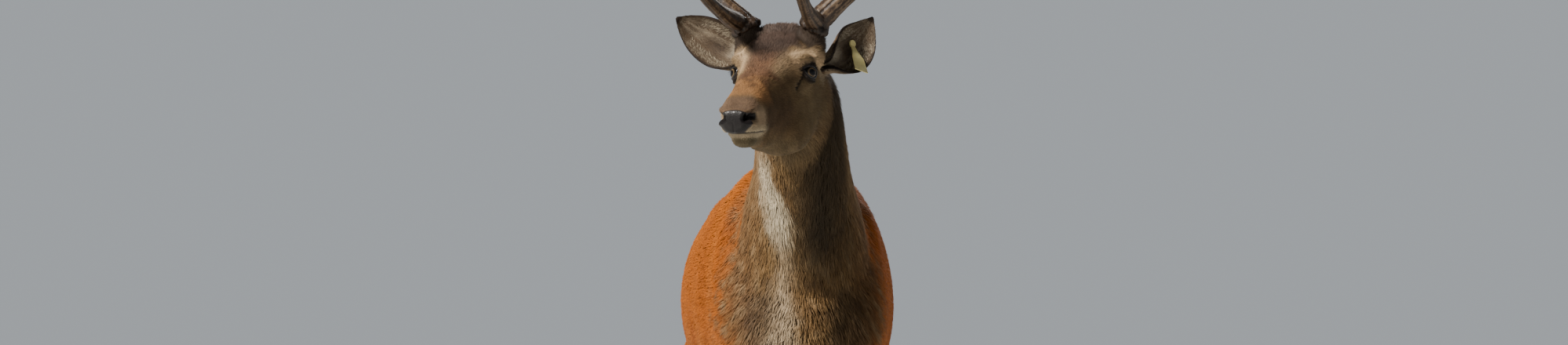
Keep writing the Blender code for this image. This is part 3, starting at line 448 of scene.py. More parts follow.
def opening_margin(across, up):
    """Distance outside the almond between an eye's lids, less than nothing inside it."""
    past_corner = np.abs(across / LID_HALF_LENGTH) - 1
    top, bottom = lid_heights(across / LID_HALF_LENGTH)
    margin = np.where(up > 0, up - top, -up - bottom)
    return np.where(past_corner > 0, np.maximum(margin, past_corner * LID_HALF_LENGTH), margin)


def lid_margin(points):
    """Distance of each point outside the nearer eye's opening."""
    found = np.full(len(points), 1.0)
    for side in SIDES:
        centre, level, upright, axis = eye_frame(side)
        away = points - centre
        near = (np.linalg.norm(away, axis=1) < EYE_RADIUS + 0.022) & (away @ axis > -0.004)
        found = np.where(near, opening_margin(away @ level, away @ upright), found)
    return found


def normals_of(mesh):
    found = np.empty(len(mesh.vertices) * 3)
    mesh.vertex_normals.foreach_get("vector", found)
    return found.reshape(-1, 3)


def put_points(mesh, points):
    mesh.vertices.foreach_set("co", points.astype(np.float32).ravel())
    mesh.update()


skin = flesh
skin.name = "skin"
skin.data.name = "skin"
skin.vertex_groups.clear()
points = points_of(skin.data)
points -= normals_of(skin.data) * coat_depth(points)[:, None]
put_points(skin.data, points)

# The body is thinned to large triangles under its coat. The face keeps every one.
keep = headness(points) > 0.02
weigh(skin, "thin", 1.0 - keep)
skin.data.calc_loop_triangles()
whole = len(skin.data.loop_triangles)
thin = skin.modifiers.new("thin", "DECIMATE")
thin.ratio = (BODY_TRIANGLES + whole * keep.mean()) / whole
thin.vertex_group = "thin"
applied(skin)


def refine(obj, chosen):
    """Cuts every face that is chosen by its middle into four."""
    mesh = obj.data
    middles = np.empty(len(mesh.polygons) * 3)
    mesh.polygons.foreach_get("center", middles)
    flags = chosen(middles.reshape(-1, 3))
    bpy.ops.object.select_all(action="DESELECT")
    bpy.context.view_layer.objects.active = obj
    obj.select_set(True)
    mesh.vertices.foreach_set("select", np.zeros(len(mesh.vertices), bool))
    mesh.edges.foreach_set("select", np.zeros(len(mesh.edges), bool))
    mesh.polygons.foreach_set("select", flags)
    bpy.context.tool_settings.mesh_select_mode = (False, False, True)
    bpy.ops.object.mode_set(mode="EDIT")
    bpy.ops.mesh.subdivide(number_cuts=1, smoothness=0.6, ngon=False, quadcorner="INNERVERT")
    bpy.ops.object.mode_set(mode="OBJECT")


def near_eyes(middles, reach):
    """True for the places within reach of either eye's centre."""
    near = [np.linalg.norm(middles - eye_frame(side)[0], axis=1) < reach for side in SIDES]
    return near[0] | near[1]


def on_muzzle(middles, start):
    places = head_places(middles)
    return (places[:, 1] > start) & (headness(middles) > 0.5)


refine(skin, lambda middles: near_eyes(middles, 0.036) | on_muzzle(middles, 0.125))
refine(skin, lambda middles: near_eyes(middles, 0.029) | on_muzzle(middles, 0.195))

points = points_of(skin.data)
rest = points.copy()
places = head_places(points)
normals = normals_of(skin.data)
shade = np.zeros(len(points))
for side in SIDES:
    centre, level, upright, axis = eye_frame(side)
    away = points - centre
    distance = np.linalg.norm(away, axis=1)
    up, out = away @ upright, away @ axis
    near = (distance < EYE_RADIUS + 0.012) & (out > -0.002)
    margin = opening_margin(away @ level, up)
    closed = np.maximum(distance, EYE_RADIUS + 0.0019 + 0.0006 * ramp(margin, 0, 0.004))
    closed -= 0.0010 * hump(margin, 0.0052, 0.0012) * (up > 0)
    reach = np.where(margin > 0, closed, EYE_RADIUS - 0.0035)
    blend = ramp(-distance, -(EYE_RADIUS + 0.012), -(EYE_RADIUS + 0.006)) * ramp(out, -0.002, 0.003)
    moved = centre + away / distance[:, None] * (distance + (reach - distance) * blend)[:, None]
    points[near] = moved[near]
    shade = np.maximum(shade, near * (1 - ramp(margin, 0.0006, 0.0030)))


def groove(places, line, width):
    """Closeness to a line through the given places, on both sides of the head, 1 on it."""
    here = np.column_stack([np.abs(places[:, 0]), places[:, 1:]])
    best = np.full(len(here), 9.0)
    for a, b in zip(line, line[1:]):
        a, b = np.array(a), np.array(b)
        t = np.clip(((here - a) @ (b - a)) / ((b - a) @ (b - a)), 0, 1)
        best = np.minimum(best, np.linalg.norm(here - a - t[:, None] * (b - a), axis=1))
    return hump(best, 0, width)


head_mask = headness(rest)
mouth_up = np.interp(places[:, 1], [0.15, 0.21, 0.245], [-0.104, -0.1085, -0.1115])
mouth = hump(places[:, 2], mouth_up, 0.0022)
mouth *= ramp(places[:, 1], 0.148, 0.165) * head_mask
slit = groove(places, GLAND_SLIT, 0.0028) * head_mask
lateral = np.abs(places[:, 0]) - NOSTRIL[0]
above = places[:, 2] - NOSTRIL[2] - 0.30 * lateral
pit = np.hypot(lateral / 0.0142, (above + 0.0016 * (lateral > 0.004)) / 0.0114)
wing = hump(pit, 1.24, 0.18) * ramp(lateral, -0.006, 0.006)
pit = (1 - ramp(pit, 0.35, 1.05)) * ramp(places[:, 1], 0.200, 0.216) * head_mask
wing *= ramp(places[:, 1], 0.204, 0.218) * head_mask
philtrum = hump(places[:, 0], 0, 0.0013) * ramp(-places[:, 2], 0.088, 0.096)
philtrum *= ramp(places[:, 1], 0.225, 0.235)
philtrum *= ramp(places[:, 2], -0.113, -0.109)
inwards = 0.0042 * mouth + 0.0034 * slit + 0.0150 * pit + 0.0011 * philtrum - 0.0022 * wing
points -= normals * inwards[:, None]
put_points(skin.data, points)
shade = np.maximum.reduce([shade, ramp(mouth, 0.25, 0.75), 0.9 * slit, ramp(pit, 0.10, 0.45)])

# ---- Ears ----------------------------------------------------------------------------------
# Each ear is a leaf of gristle curled round its hollow, thick at the root and thin at the rim,
# and it grows out of the same skin. The left ear is swung back further than the right.

EARS = {
    -1: {
        "root": (-0.058, -0.086, 0.014),
        "elbow": (-0.138, -0.096, 0.052),
        "tip": (-0.216, -0.112, 0.106),
        "faces": (-0.10, 0.97, 0.20),
    },
    1: {
        "root": (0.060, -0.090, 0.012),
        "elbow": (0.140, -0.130, 0.032),
        "tip": (0.132, -0.204, 0.104),
        "faces": (0.66, 0.74, 0.05),
    },
}
# share of the length, half the width measured round the curl, half the curl in degrees, thickness
EAR_SECTIONS = [
    (0.00, 0.052, 160.0, 0.0170),
    (0.12, 0.055, 150.0, 0.0150),
    (0.25, 0.058, 112.0, 0.0060),
    (0.40, 0.058, 80.0, 0.0045),
    (0.58, 0.053, 62.0, 0.0040),
    (0.76, 0.041, 50.0, 0.0036),
    (0.90, 0.023, 40.0, 0.0032),
    (1.00, 0.006, 30.0, 0.0028),
]


def ear_points(side, share, turn, depth):
    """Points on an ear from arrays of length share, turn round the curl (-1 to 1) and depth."""
    rows = np.array(smooth_rows(EAR_SECTIONS, 6))
    half_width, curl, thickness = (np.interp(share, rows[:, 0], rows[:, k]) for k in (1, 2, 3))
    curl = np.radians(curl)
    half_width = half_width * np.sqrt(np.clip(1 - np.clip((share - 0.90) / 0.10, 0, 1) ** 2, 0.002, 1))
    root, elbow, tip = (np.array(on_head(*EARS[side][name])) for name in ("root", "elbow", "tip"))
    faces = EARS[side]["faces"]
    s = share[:, None]
    middle = root * (1 - s) ** 2 + elbow * 2 * s * (1 - s) + tip * s**2
    along = unit((elbow - root) * (1 - s) + (tip - elbow) * s)
    out = np.array(HEAD_FRAME.to_3x3() @ Vector((faces[0], -faces[1], faces[2])))
    out = unit(out - along * (along @ out)[:, None])
    across = np.cross(along, out)
    radius = half_width / curl
    reach = np.maximum(radius - depth * thickness, 0.0005)
    rim = middle + out * (radius * np.cos(curl) * 0.45)[:, None]
    angle = curl * turn
    facing = across * np.sin(angle)[:, None] - out * np.cos(angle)[:, None]
    return rim + facing * reach[:, None], facing, along


def ear_skin(side, rows=34, columns=26):
    """The leaf's back and inside, a little under the hair on both, closed round its rim."""
    shares, turns = np.linspace(0, 1, rows + 1) ** 0.9, np.linspace(-1, 1, columns + 1)
    share, turn = np.meshgrid(shares, turns, indexing="ij")
    bm = bmesh.new()
    marks = bm.verts.layers.float.new("ear")
    sheets = []
    for inside in (False, True):
        depth = 0.80 if inside else 0.16
        found = ear_points(side, share.ravel() * 0.992, turn.ravel() * 0.985, np.full(share.size, depth))[0]
        verts = [bm.verts.new(point) for point in found]
        for vertex, at_share, at_turn in zip(verts, share.ravel(), turn.ravel()):
            rim = abs(at_turn) > (0.97 if inside else 0.90) or at_share > 0.97
            vertex[marks] = 2.0 if rim else 1.0 if inside else 0.5
        sheets.append([verts[i * (columns + 1) : (i + 1) * (columns + 1)] for i in range(rows + 1)])
    back, front = sheets
    for sheet in sheets:
        for low, high in zip(sheet, sheet[1:]):
            for k in range(columns):
                bm.faces.new((low[k], low[k + 1], high[k + 1], high[k]))
    for edge in (0, columns):
        for i in range(rows):
            bm.faces.new((back[i][edge], back[i + 1][edge], front[i + 1][edge], front[i][edge]))
    for end in (0, -1):
        for k in range(columns):
            bm.faces.new((back[end][k], back[end][k + 1], front[end][k + 1], front[end][k]))
    return made_mesh(bm, "ear", outwards=True)


marks = skin.data.attributes.new("shade", "FLOAT", "POINT")
marks.data.foreach_set("value", shade.astype(np.float32))
for side in SIDES:
    ear = placed("ear", ear_skin(side))
    join = skin.modifiers.new("join ear", "BOOLEAN")
    join.operation = "UNION"
    join.solver = "MANIFOLD"
    join.object = ear
    applied(skin)
    bpy.data.objects.remove(ear)


def values_of(mesh, name):
    """A number for each vertex, or none where the mesh carries none of that name."""
    found = np.zeros(len(mesh.vertices))
    if name in mesh.attributes:
        mesh.attributes[name].data.foreach_get("value", found)
    return found


# ---- Markings ------------------------------------------------------------------------------
# Late summer coat: fox red flanks, grey-brown neck and chest with a pale streak down the throat,
# a dark forehead over buff brows, pale lips, a straw rump patch and dull brown shanks.
# Light and shade are painted in too: the pale streak is laid only on the lit side of the throat,
# and painted shade darkens the throat under the head, the hollows beside the brisket, the lower
# sides of the muzzle, the chin and the pedicles.

RED = (0.335, 0.086, 0.006)
RED_DARK = (0.110, 0.030, 0.010)
GREY_BROWN = (0.165, 0.096, 0.036)
GREY_DARK = (0.052, 0.033, 0.019)
PALE = (0.440, 0.370, 0.255)
BUFF = (0.560, 0.400, 0.235)
STRAW = (0.580, 0.400, 0.190)


def ripple(points, size, seed):
    """A smooth noise from -1 to 1, with swells about this size."""
    rng = np.random.default_rng(seed)
    found = np.zeros(len(points))
    for _ in range(9):
        way = rng.normal(size=3)
        way *= 2 * math.pi / size * rng.uniform(0.6, 1.5) / np.linalg.norm(way)
        found += np.sin(points @ way + rng.uniform(0, 6.28))
    return found / 4.0


def plain_tint(tint, count):
    """One colour for each of so many points."""
    return np.tile(np.array(tint), (count, 1))


def over(colours, tint, share):
    """Lays a tint over the colours by a share for each point."""
    share = np.clip(share, 0, 1)[:, None]
    return colours * (1 - share) + np.array(tint) * share


def oval(points, centre, radii, soft=0.45):
    """1 inside a soft-edged oval, 0 outside it."""
    return 1 - ramp(blob(points, centre, radii), 1 - soft, 1 + soft)


def coat_colours(points):
    """The coat's colour at each point of the skin."""
    x, y, z = np.abs(points[:, 0]), points[:, 1], points[:, 2]
    wave, fine = ripple(points, 0.16, 3), ripple(points, 0.030, 5)
    found = plain_tint(RED, len(points))
    back = hump(x, 0, 0.045) * ramp(z, 1.02, 1.16)
    found = over(found, RED_DARK, (0.35 + 0.5 * ramp(z, 1.12, 1.20)) * back)
    found = over(found, (0.42, 0.150, 0.034), 0.40 * ramp(-z, -0.95, -0.80) + 0.16 * wave)
    found = over(found, (0.22, 0.055, 0.010), 0.30 * np.clip(-wave, 0, 1))
    belly = ramp(-z, -0.800, -0.715) * ramp(-x, -0.140, -0.090) * ramp(z, 0.60, 0.68)
    found = over(found, (0.38, 0.28, 0.17), belly)
    shank = ramp(-z, -0.76, -0.60)
    found = over(found, (0.215, 0.130, 0.066), shank)
    leg_front = ramp(-(y - np.where(y > 0.45, 0.965, 0.018)), -0.004, 0.018)
    found = over(found, (0.105, 0.068, 0.042), 0.60 * shank * leg_front * ramp(-z, -0.55, -0.40))
    found = over(found, (0.360, 0.265, 0.160), 0.60 * shank * ramp(-x, -0.112, -0.098))
    found = over(found, (0.080, 0.055, 0.038), 0.65 * ramp(-z, -0.085, -0.060))
    ring = np.hypot(x / 0.105, (z - 1.055) / 0.125) + 0.06 * fine
    found = over(found, RED_DARK, 0.60 * hump(ring, 0.98, 0.13) * ramp(y, 0.945, 1.0))
    found = over(found, STRAW, (1 - ramp(ring, 0.72, 0.96)) * ramp(y, 0.955, 1.005))
    on_tail = ramp(y, 1.040, 1.052) * (x < 0.045) * (z < 1.12)
    found = over(found, (0.34, 0.17, 0.065), 0.85 * on_tail)
    found = over(found, GREY_DARK, 0.65 * on_tail * hump(x, 0, 0.009))

    head = headness(points)
    heights = [0.75, 0.87, 0.90, 0.955, 1.00, 1.04, 1.08, 1.20]
    reach = np.interp(z, heights, [0.10, 0.120, 0.142, 0.140, 0.128, 0.110, 0.100, 0.098])
    reach = reach + 0.10 * ramp(-y, 0.11, 0.19) * ramp(z, 0.97, 1.04)
    front = ramp(-y, -0.040, 0.070) * (1 - ramp(x + 0.014 * fine, reach - 0.030, reach + 0.030))
    grey = np.maximum(front, ramp(-y, 0.17, 0.30) * ramp(z, 1.00, 1.10))
    found = over(found, GREY_BROWN, grey)
    warm = 0.60 * grey * ramp(x, 0.055, 0.105) + 0.20 * grey * np.clip(wave, 0, 1)
    found = over(found, (0.150, 0.070, 0.027), warm)
    found = over(found, GREY_DARK, 0.45 * grey * np.clip(fine, 0, 1))
    found = over(found, (0.30, 0.215, 0.120), 0.35 * grey * np.clip(-fine, 0, 1))
    heights = [0.79, 0.85, 0.91, 0.97, 1.03, 1.10, 1.15, 1.20, 1.25]
    fronts = [-0.246, -0.277, -0.282, -0.281, -0.314, -0.371, -0.417, -0.460, -0.503]
    front_line = np.interp(z, heights, fronts)
    frontal = ramp(front_line - y, -0.170, -0.110)
    # Painted shadow: the shadow the head casts on the front of the neck, laid in as a near black tint a
    # little to the stag's left of the middle.
    throat_painted_shadow = hump(points[:, 0], 0.020, 0.058) * frontal * ramp(z, 0.94, 1.10)
    found = over(found, (0.028, 0.020, 0.011), 0.92 * throat_painted_shadow * (1 - head))
    # Painted shade: a dark tint in the hollow on each side of the brisket.
    hollow = oval(np.column_stack([x, z]), (0.068, 0.915), (0.036, 0.070)) * ramp(-y, 0.10, 0.18)
    found = over(found, (0.070, 0.046, 0.026), 0.60 * hollow)
    spine = np.interp(z, [1.08, 1.16, 1.24, 1.33], [0.0, -0.006, -0.016, -0.046])
    nape_line = np.interp(y, [-0.50, -0.10, 0.02], [1.405, 1.225, 1.20])
    nape = hump(points[:, 0], spine, 0.060) * ramp(z - nape_line, -0.100, -0.030)
    found = over(found, (0.120, 0.060, 0.030), 0.85 * nape * grey * (1 - head))
    # Partly the throat's own pale hair and partly painted light: the streak lies only on the stag's right
    # side, the lit side, and is brightest high on the throat.
    heights = [0.860, 0.883, 0.937, 0.992, 1.045, 1.082, 1.118, 1.154, 1.180, 1.205, 1.25]
    middles = [-0.044, -0.044, -0.037, -0.043, -0.040, -0.046, -0.055, -0.066, -0.073, -0.080, -0.092]
    widths = [0.030, 0.028, 0.019, 0.014, 0.012, 0.014, 0.016, 0.012, 0.009, 0.006, 0.004]
    strengths = [0.80, 0.80, 0.75, 0.65, 0.50, 0.80, 1.00, 1.00, 0.90, 0.70, 0.0]
    streak_x, streak_width = np.interp(z, heights, middles), np.interp(z, heights, widths)
    pale_streak_and_painted_light = np.exp(-(np.abs((points[:, 0] - streak_x + 0.004 * fine) / streak_width) ** 3)) * frontal
    strength = np.interp(z, heights, strengths) * pale_streak_and_painted_light
    found = over(found, (0.380, 0.290, 0.185), strength * (1 - head) * (0.9 + 0.25 * fine))
    found = over(found, PALE, strength * (1 - head) * ramp(z, 1.040, 1.100))
    return head_colours(found, points, head, fine)


BROW_LINE = [
    (0.030, 0.088, 0.000),
    (0.045, 0.030, 0.028),
    (0.060, -0.006, 0.035),
    (0.073, -0.026, 0.024),
    (0.073, -0.064, 0.010),
]


def head_colours(found, points, head, fine):
    """Lays the face over the coat's colours by the share of head at each point."""
    places = head_places(points)
    x, forward, up = np.abs(places[:, 0]), places[:, 1], places[:, 2]
    side = np.column_stack([x, forward, up])
    ragged = 0.010 * fine
    face = plain_tint((0.125, 0.080, 0.038), len(points))
    jowl = oval(side, (0.060, -0.030, -0.060), (0.05, 0.07, 0.05))
    face = over(face, (0.130, 0.092, 0.046), 0.8 * jowl)
    # Partly the muzzle's own darker brown and partly painted shade low on its sides.
    muzzle_dark_and_painted_shade = oval(side, (0.038, 0.095, -0.075), (0.030, 0.075, 0.034))
    face = over(face, (0.070, 0.042, 0.021), 0.85 * muzzle_dark_and_painted_shade)
    half = np.interp(forward, [-0.06, 0.0, 0.045, 0.10, 0.135], [0.046, 0.046, 0.035, 0.030, 0.022])
    crown = (1 - ramp(x + ragged, half - 0.008, half + 0.008)) * ramp(up, -0.035, -0.015)
    crown *= 1 - ramp(forward + ragged, 0.125, 0.150)
    face = over(face, (0.120, 0.060, 0.032), 0.9 * crown)
    darkest = crown * (1 - ramp(forward + ragged, 0.020, 0.092))
    face = over(face, (0.062, 0.042, 0.033), 0.95 * darkest)
    bridge = ramp(forward + ragged, 0.118, 0.142) * (1 - ramp(forward, 0.180, 0.200))
    bridge *= 1 - ramp(x, 0.028, 0.046)
    face = over(face, (0.250, 0.122, 0.048), 0.80 * bridge * ramp(up, -0.065, -0.045))
    chevron = hump(forward + 0.55 * x - 0.148 + ragged, 0, 0.010) * (1 - ramp(x, 0.022, 0.036))
    face = over(face, (0.060, 0.032, 0.018), 0.70 * chevron * ramp(up, -0.045, -0.030))
    brow = groove(places, BROW_LINE, 0.0125)
    face = over(face, BUFF, 0.90 * brow * (1 - 0.6 * ramp(forward, 0.05, 0.085)))
    above_eye = oval(side, (0.060, 0.010, 0.010), (0.016, 0.026, 0.012))
    face = over(face, BUFF, 0.55 * above_eye)
    below_eye = oval(side, (0.062, 0.020, -0.026), (0.020, 0.034, 0.014))
    face = over(face, (0.26, 0.185, 0.100), 0.40 * below_eye)
    above_pad = ramp(forward, 0.188, 0.205) * ramp(up, -0.082, -0.066)
    face = over(face, (0.125, 0.078, 0.048), 0.90 * above_pad)
    cheek = oval(side, (0.034, 0.192, -0.086), (0.022, 0.030, 0.024))
    face = over(face, (0.36, 0.265, 0.165), 0.75 * cheek)
    lips = ramp(forward, 0.120, 0.180) * ramp(-up, 0.088, 0.102)
    face = over(face, (0.40, 0.325, 0.210), 0.80 * lips)
    # The chin's own olive brown, darkened further by painted shade under the mouth.
    chin_dark_and_painted_shade = ramp(forward, 0.120, 0.165) * ramp(-up, 0.112, 0.120)
    face = over(face, (0.092, 0.070, 0.036), 0.90 * chin_dark_and_painted_shade)
    jaw = ramp(-up, 0.105, 0.130) * (1 - ramp(forward, 0.08, 0.13))
    face = over(face, (0.120, 0.088, 0.046), 0.65 * jaw)
    before_eye = oval(side, (0.048, 0.040, 0.010), (0.020, 0.034, 0.020))
    face = over(face, (0.230, 0.150, 0.080), 0.55 * before_eye)
    margin = lid_margin(points)
    front_corner = 0.0040 * ramp(forward, 0.008, 0.022) * ramp(-up, -0.004, 0.006)
    face = over(face, (0.016, 0.011, 0.008), 0.97 * (1 - ramp(margin - front_corner, 0.0060, 0.0118)))
    face = over(face, (0.016, 0.011, 0.008), 1.5 * groove(places, GLAND_SLIT, 0.0042))
    # Painted shade: the pedicles are painted near black, as their shaded sides.
    stump = (1 - ramp(np.hypot(x - 0.060, forward + 0.050), 0.028, 0.040)) * ramp(up + ragged, 0.034, 0.048)
    face = over(face, (0.036, 0.025, 0.018), 0.95 * stump)
    ear_root = oval(side, (0.066, -0.080, 0.010), (0.022, 0.022, 0.026))
    face = over(face, (0.36, 0.29, 0.19), 0.6 * ear_root)
    face *= (1 + 0.14 * fine)[:, None]
    return found * (1 - head[:, None]) + face * head[:, None]


points = points_of(skin.data)
places = head_places(points)
shade = values_of(skin.data, "shade")
ear_mark = values_of(skin.data, "ear")
pad = (1 - ramp(blob(places, *NOSE_PAD), 0.93, 1.03)) * headness(points)
taper = np.interp(places[:, 2], [-0.114, -0.094, -0.080], [0.010, 0.030, 0.044])
pad *= 1 - ramp(np.abs(places[:, 0]), taper - 0.002, taper + 0.002)
colours = coat_colours(points)
colours = over(colours, (0.100, 0.066, 0.047), (ear_mark > 0.75) * 1.0)
colours = over(colours, (0.110, 0.070, 0.040), ((ear_mark > 0.25) & (ear_mark <= 0.75)) * 1.0)
colours = over(colours, (0.022, 0.015, 0.011), (ear_mark > 1.4) * 1.0)
colours = over(colours, (0.010, 0.008, 0.008), np.maximum(pad, shade))


def put_colours(mesh, name, colours):
    layer = mesh.color_attributes.new(name, "FLOAT_COLOR", "POINT")
    colours = np.hstack([colours, np.ones((len(colours), 1))])
    layer.data.foreach_set("color", colours.astype(np.float32).ravel())


def put_values(mesh, name, values):
    layer = mesh.attributes.new(name, "FLOAT", "POINT")
    layer.data.foreach_set("value", values.astype(np.float32))


put_colours(skin.data, "markings", colours)
put_values(skin.data, "bare", np.maximum(pad, 0.7 * shade))
skin.data.shade_smooth()


class Socket:
    """An output of a shader node that can be used in sums."""

    def __init__(self, tree, output):
        self.tree, self.output = tree, output

    def math(self, operation, other):
        return add_node(self.tree, "ShaderNodeMath", {0: self, 1: other}, operation=operation)

    def __add__(self, other):
        return self.math("ADD", other)

    def __mul__(self, other):
        return self.math("MULTIPLY", other)

    def __rsub__(self, other):
        return self * -1.0 + other

    def __pow__(self, other):
        return self.math("POWER", other)

    __radd__, __rmul__ = __add__, __mul__


def add_node(tree, kind, inputs=(), output=0, **settings):
    """A node with its settings, then the values or links of its sockets. Returns one output."""
    made = tree.nodes.new(kind)
    for name, value in settings.items():
        setattr(made, name, value)
    for key, value in dict(inputs).items():
        if isinstance(value, Socket):
            tree.links.new(value.output, made.inputs[key])
        else:
            made.inputs[key].default_value = value
    return Socket(tree, made.outputs[output])


def new_finish(name):
    """A material cleared down to its output, its tree, and the piece's own coordinates in it."""
    finish = bpy.data.materials.new(name)
    finish.use_nodes = True
    tree = finish.node_tree
    for made in list(tree.nodes):
        if made.type != "OUTPUT_MATERIAL":
            tree.nodes.remove(made)
    return finish, tree, add_node(tree, "ShaderNodeTexCoord", output="Object")


def use_surface(surface):
    output = next(made for made in surface.tree.nodes if made.type == "OUTPUT_MATERIAL")
    surface.tree.links.new(surface.output, output.inputs["Surface"])


def principled(tree, looks):
    return add_node(tree, "ShaderNodeBsdfPrincipled", looks)


def attribute(tree, name, output="Fac"):
    return add_node(tree, "ShaderNodeAttribute", output=output, attribute_name=name)


def noise(place, scale, detail, **looks):
    looks = {"Vector": place, "Scale": scale, "Detail": detail, **looks}
    return add_node(place.tree, "ShaderNodeTexNoise", looks)


def bump(height, strength, distance):
    looks = {"Strength": strength, "Distance": distance, "Height": height}
    return add_node(height.tree, "ShaderNodeBump", looks)


def fitted(value, low, high, start=0.0, end=1.0):
    """A value's place between low and high, as a number from start to end."""
    return add_node(value.tree, "ShaderNodeMapRange", {0: value, 1: low, 2: high, 3: start, 4: end})


def mixed(share, low, high):
    """A colour between two, by a share."""
    low, high = (colour if isinstance(colour, Socket) else (*colour, 1.0) for colour in (low, high))
    return add_node(share.tree, "ShaderNodeMix", {0: share, 6: low, 7: high}, 2, data_type="RGBA")


def multiplied(colour, factor):
    """A colour made darker or lighter by a number."""
    return add_node(colour.tree, "ShaderNodeVectorMath", {0: colour, "Scale": factor}, operation="SCALE")


skin_finish, tree, place = new_finish("skin and short hair")
marking = attribute(tree, "markings", "Color")
bare = attribute(tree, "bare")
hairs = noise(place, 420.0, 3.0)
patches = noise(place, 45.0, 4.0)
tone = 0.42 + hairs * 0.62 + patches * 0.45
ruffle = bump(hairs + patches * 0.5, 0.55, 0.0016)
looks = {
    "Base Color": multiplied(marking, tone),
    "Roughness": 0.74,
    "Normal": ruffle,
    "Specular IOR Level": 0.14,
}
haired = principled(tree, looks)
voronoi = {"Vector": place, "Scale": 620.0, "Smoothness": 0.6}
pebbles = add_node(tree, "ShaderNodeTexVoronoi", voronoi, feature="SMOOTH_F1")
looks = {
    "Base Color": multiplied(marking, 0.5 + pebbles * 0.6),
    "Roughness": 0.44,
    "Normal": bump(pebbles, 0.45, 0.0008),
    "Specular IOR Level": 0.22,
    "Coat Weight": 0.22,
    "Coat Roughness": 0.18,
}
wet = principled(tree, looks)
use_surface(add_node(tree, "ShaderNodeMixShader", {0: bare, 1: haired, 2: wet}))
skin.data.materials.clear()
skin.data.materials.append(skin_finish)

# ---- Eyes ----------------------------------------------------------------------------------
# A deer's eye is dark and wet, with a long level pupil in a grey-brown iris under a bulging
# cornea. A dark hairless rim edges the lids all round.

EYE_LOOK = {"iris": (0.070, 0.042, 0.019), "edge": (0.006, 0.005, 0.004), "glint": (0.230, 0.160, 0.085)}
IRIS_RADIUS = 0.0102


def eyeball(side):
    """A ball with the cornea's low dome on it. It carries where each point lies across the iris."""
    centre, level, upright, axis = eye_frame(side)
    bpy.ops.object.select_all(action="DESELECT")
    bpy.ops.mesh.primitive_uv_sphere_add(segments=72, ring_count=48, radius=EYE_RADIUS)
    ball = bpy.context.object
    local = points_of(ball.data)
    from_axis = np.hypot(local[:, 0], local[:, 1])
    bulge = 0.0011 * np.clip(1 - (from_axis / (IRIS_RADIUS + 0.0010)) ** 2, 0, None) * (local[:, 2] > 0)
    local += local / EYE_RADIUS * bulge[:, None]
    put_points(ball.data, centre + local @ np.array([level, upright, axis]))
    layer = ball.data.attributes.new("iris_place", "FLOAT_VECTOR", "POINT")
    layer.data.foreach_set("vector", (local / IRIS_RADIUS).astype(np.float32).ravel())
    ball.data.shade_smooth()
    return ball


def lid_rim(side):
    """The closed loop of bare skin along both lids' edges."""
    centre, level, upright, axis = eye_frame(side)
    corners, steps = 10, 72
    turn = np.linspace(0, 2 * math.pi, steps, endpoint=False)
    share = np.cos(turn)
    top, bottom = lid_heights(share)
    up = np.where(np.sin(turn) >= 0, top, -bottom)
    across = share * LID_HALF_LENGTH
    radius = EYE_RADIUS + 0.0010
    out = np.sqrt(np.clip(radius**2 - across**2 - up**2, 0, None))
    path = centre + across[:, None] * level + up[:, None] * upright + out[:, None] * axis
    thick = 0.0012 + 0.0004 * np.abs(np.sin(turn))
    away = unit(path - centre)
    beside = np.cross(unit(np.roll(path, -1, axis=0) - np.roll(path, 1, axis=0)), away)
    angle = np.linspace(0, 2 * math.pi, corners, endpoint=False)
    ring = np.cos(angle)[None, :, None] * beside[:, None]
    ring = ring + 0.75 * np.sin(angle)[None, :, None] * away[:, None]
    points = (path[:, None] + ring * thick[:, None, None]).reshape(-1, 3)
    k = np.arange(steps)[:, None] * corners
    j = np.arange(corners)[None, :]
    after, beyond = (k + corners) % (steps * corners), (j + 1) % corners
    faces = np.stack([k + j, k + beyond, after + beyond, after + j], axis=-1).reshape(-1, 4)
    mesh = bpy.data.meshes.new("lid rim")
    mesh.from_pydata(points.tolist(), [], faces.tolist())
    mesh.shade_smooth()
    return mesh


def new_piece(name, mesh, finish):
    obj = placed(name, mesh)
    obj.data.name = name
    obj.data.materials.clear()
    obj.data.materials.append(finish)
    return obj


def outwards(obj):
    """Turns the faces of a finished piece outwards."""
    bm = bmesh.new()
    bm.from_mesh(obj.data)
    bmesh.ops.recalc_face_normals(bm, faces=bm.faces)
    bm.to_mesh(obj.data)
    bm.free()


eye_finish, tree, _ = new_finish("eye")
spot = attribute(tree, "iris_place", "Vector")
across = add_node(tree, "ShaderNodeSeparateXYZ", {0: spot})
up = Socket(tree, across.output.node.outputs[1])
from_middle = ((across**2.0) + (up**2.0)) ** 0.5
slot_shape = ((across * 1.30) ** 2.0 + (up * 1.72) ** 2.0) ** 0.5
pupil = fitted(slot_shape, 0.82, 1.12)
edge = fitted(from_middle, 0.74, 0.96)
streaks = noise(spot, 9.0, 5.0, Distortion=1.2)
iris = mixed(streaks, EYE_LOOK["iris"], EYE_LOOK["glint"])
coloured = mixed(edge, iris, EYE_LOOK["edge"])
seen = mixed(pupil, (0.004, 0.004, 0.005), coloured)
looks = {
    "Base Color": seen,
    "Roughness": 0.07,
    "Coat Weight": 0.12,
    "Coat Roughness": 0.02,
    "IOR": 1.38,
    "Specular IOR Level": 0.3,
}
use_surface(principled(tree, looks))

rim_finish, tree, place = new_finish("lid rim")
creases = noise(place, 900.0, 3.0)
dark = mixed(creases, (0.005, 0.004, 0.004), (0.020, 0.015, 0.013))
creased = bump(creases, 0.4, 0.0004)
looks = {"Base Color": dark, "Roughness": 0.42, "Normal": creased, "Coat Weight": 0.12}
use_surface(principled(tree, looks))

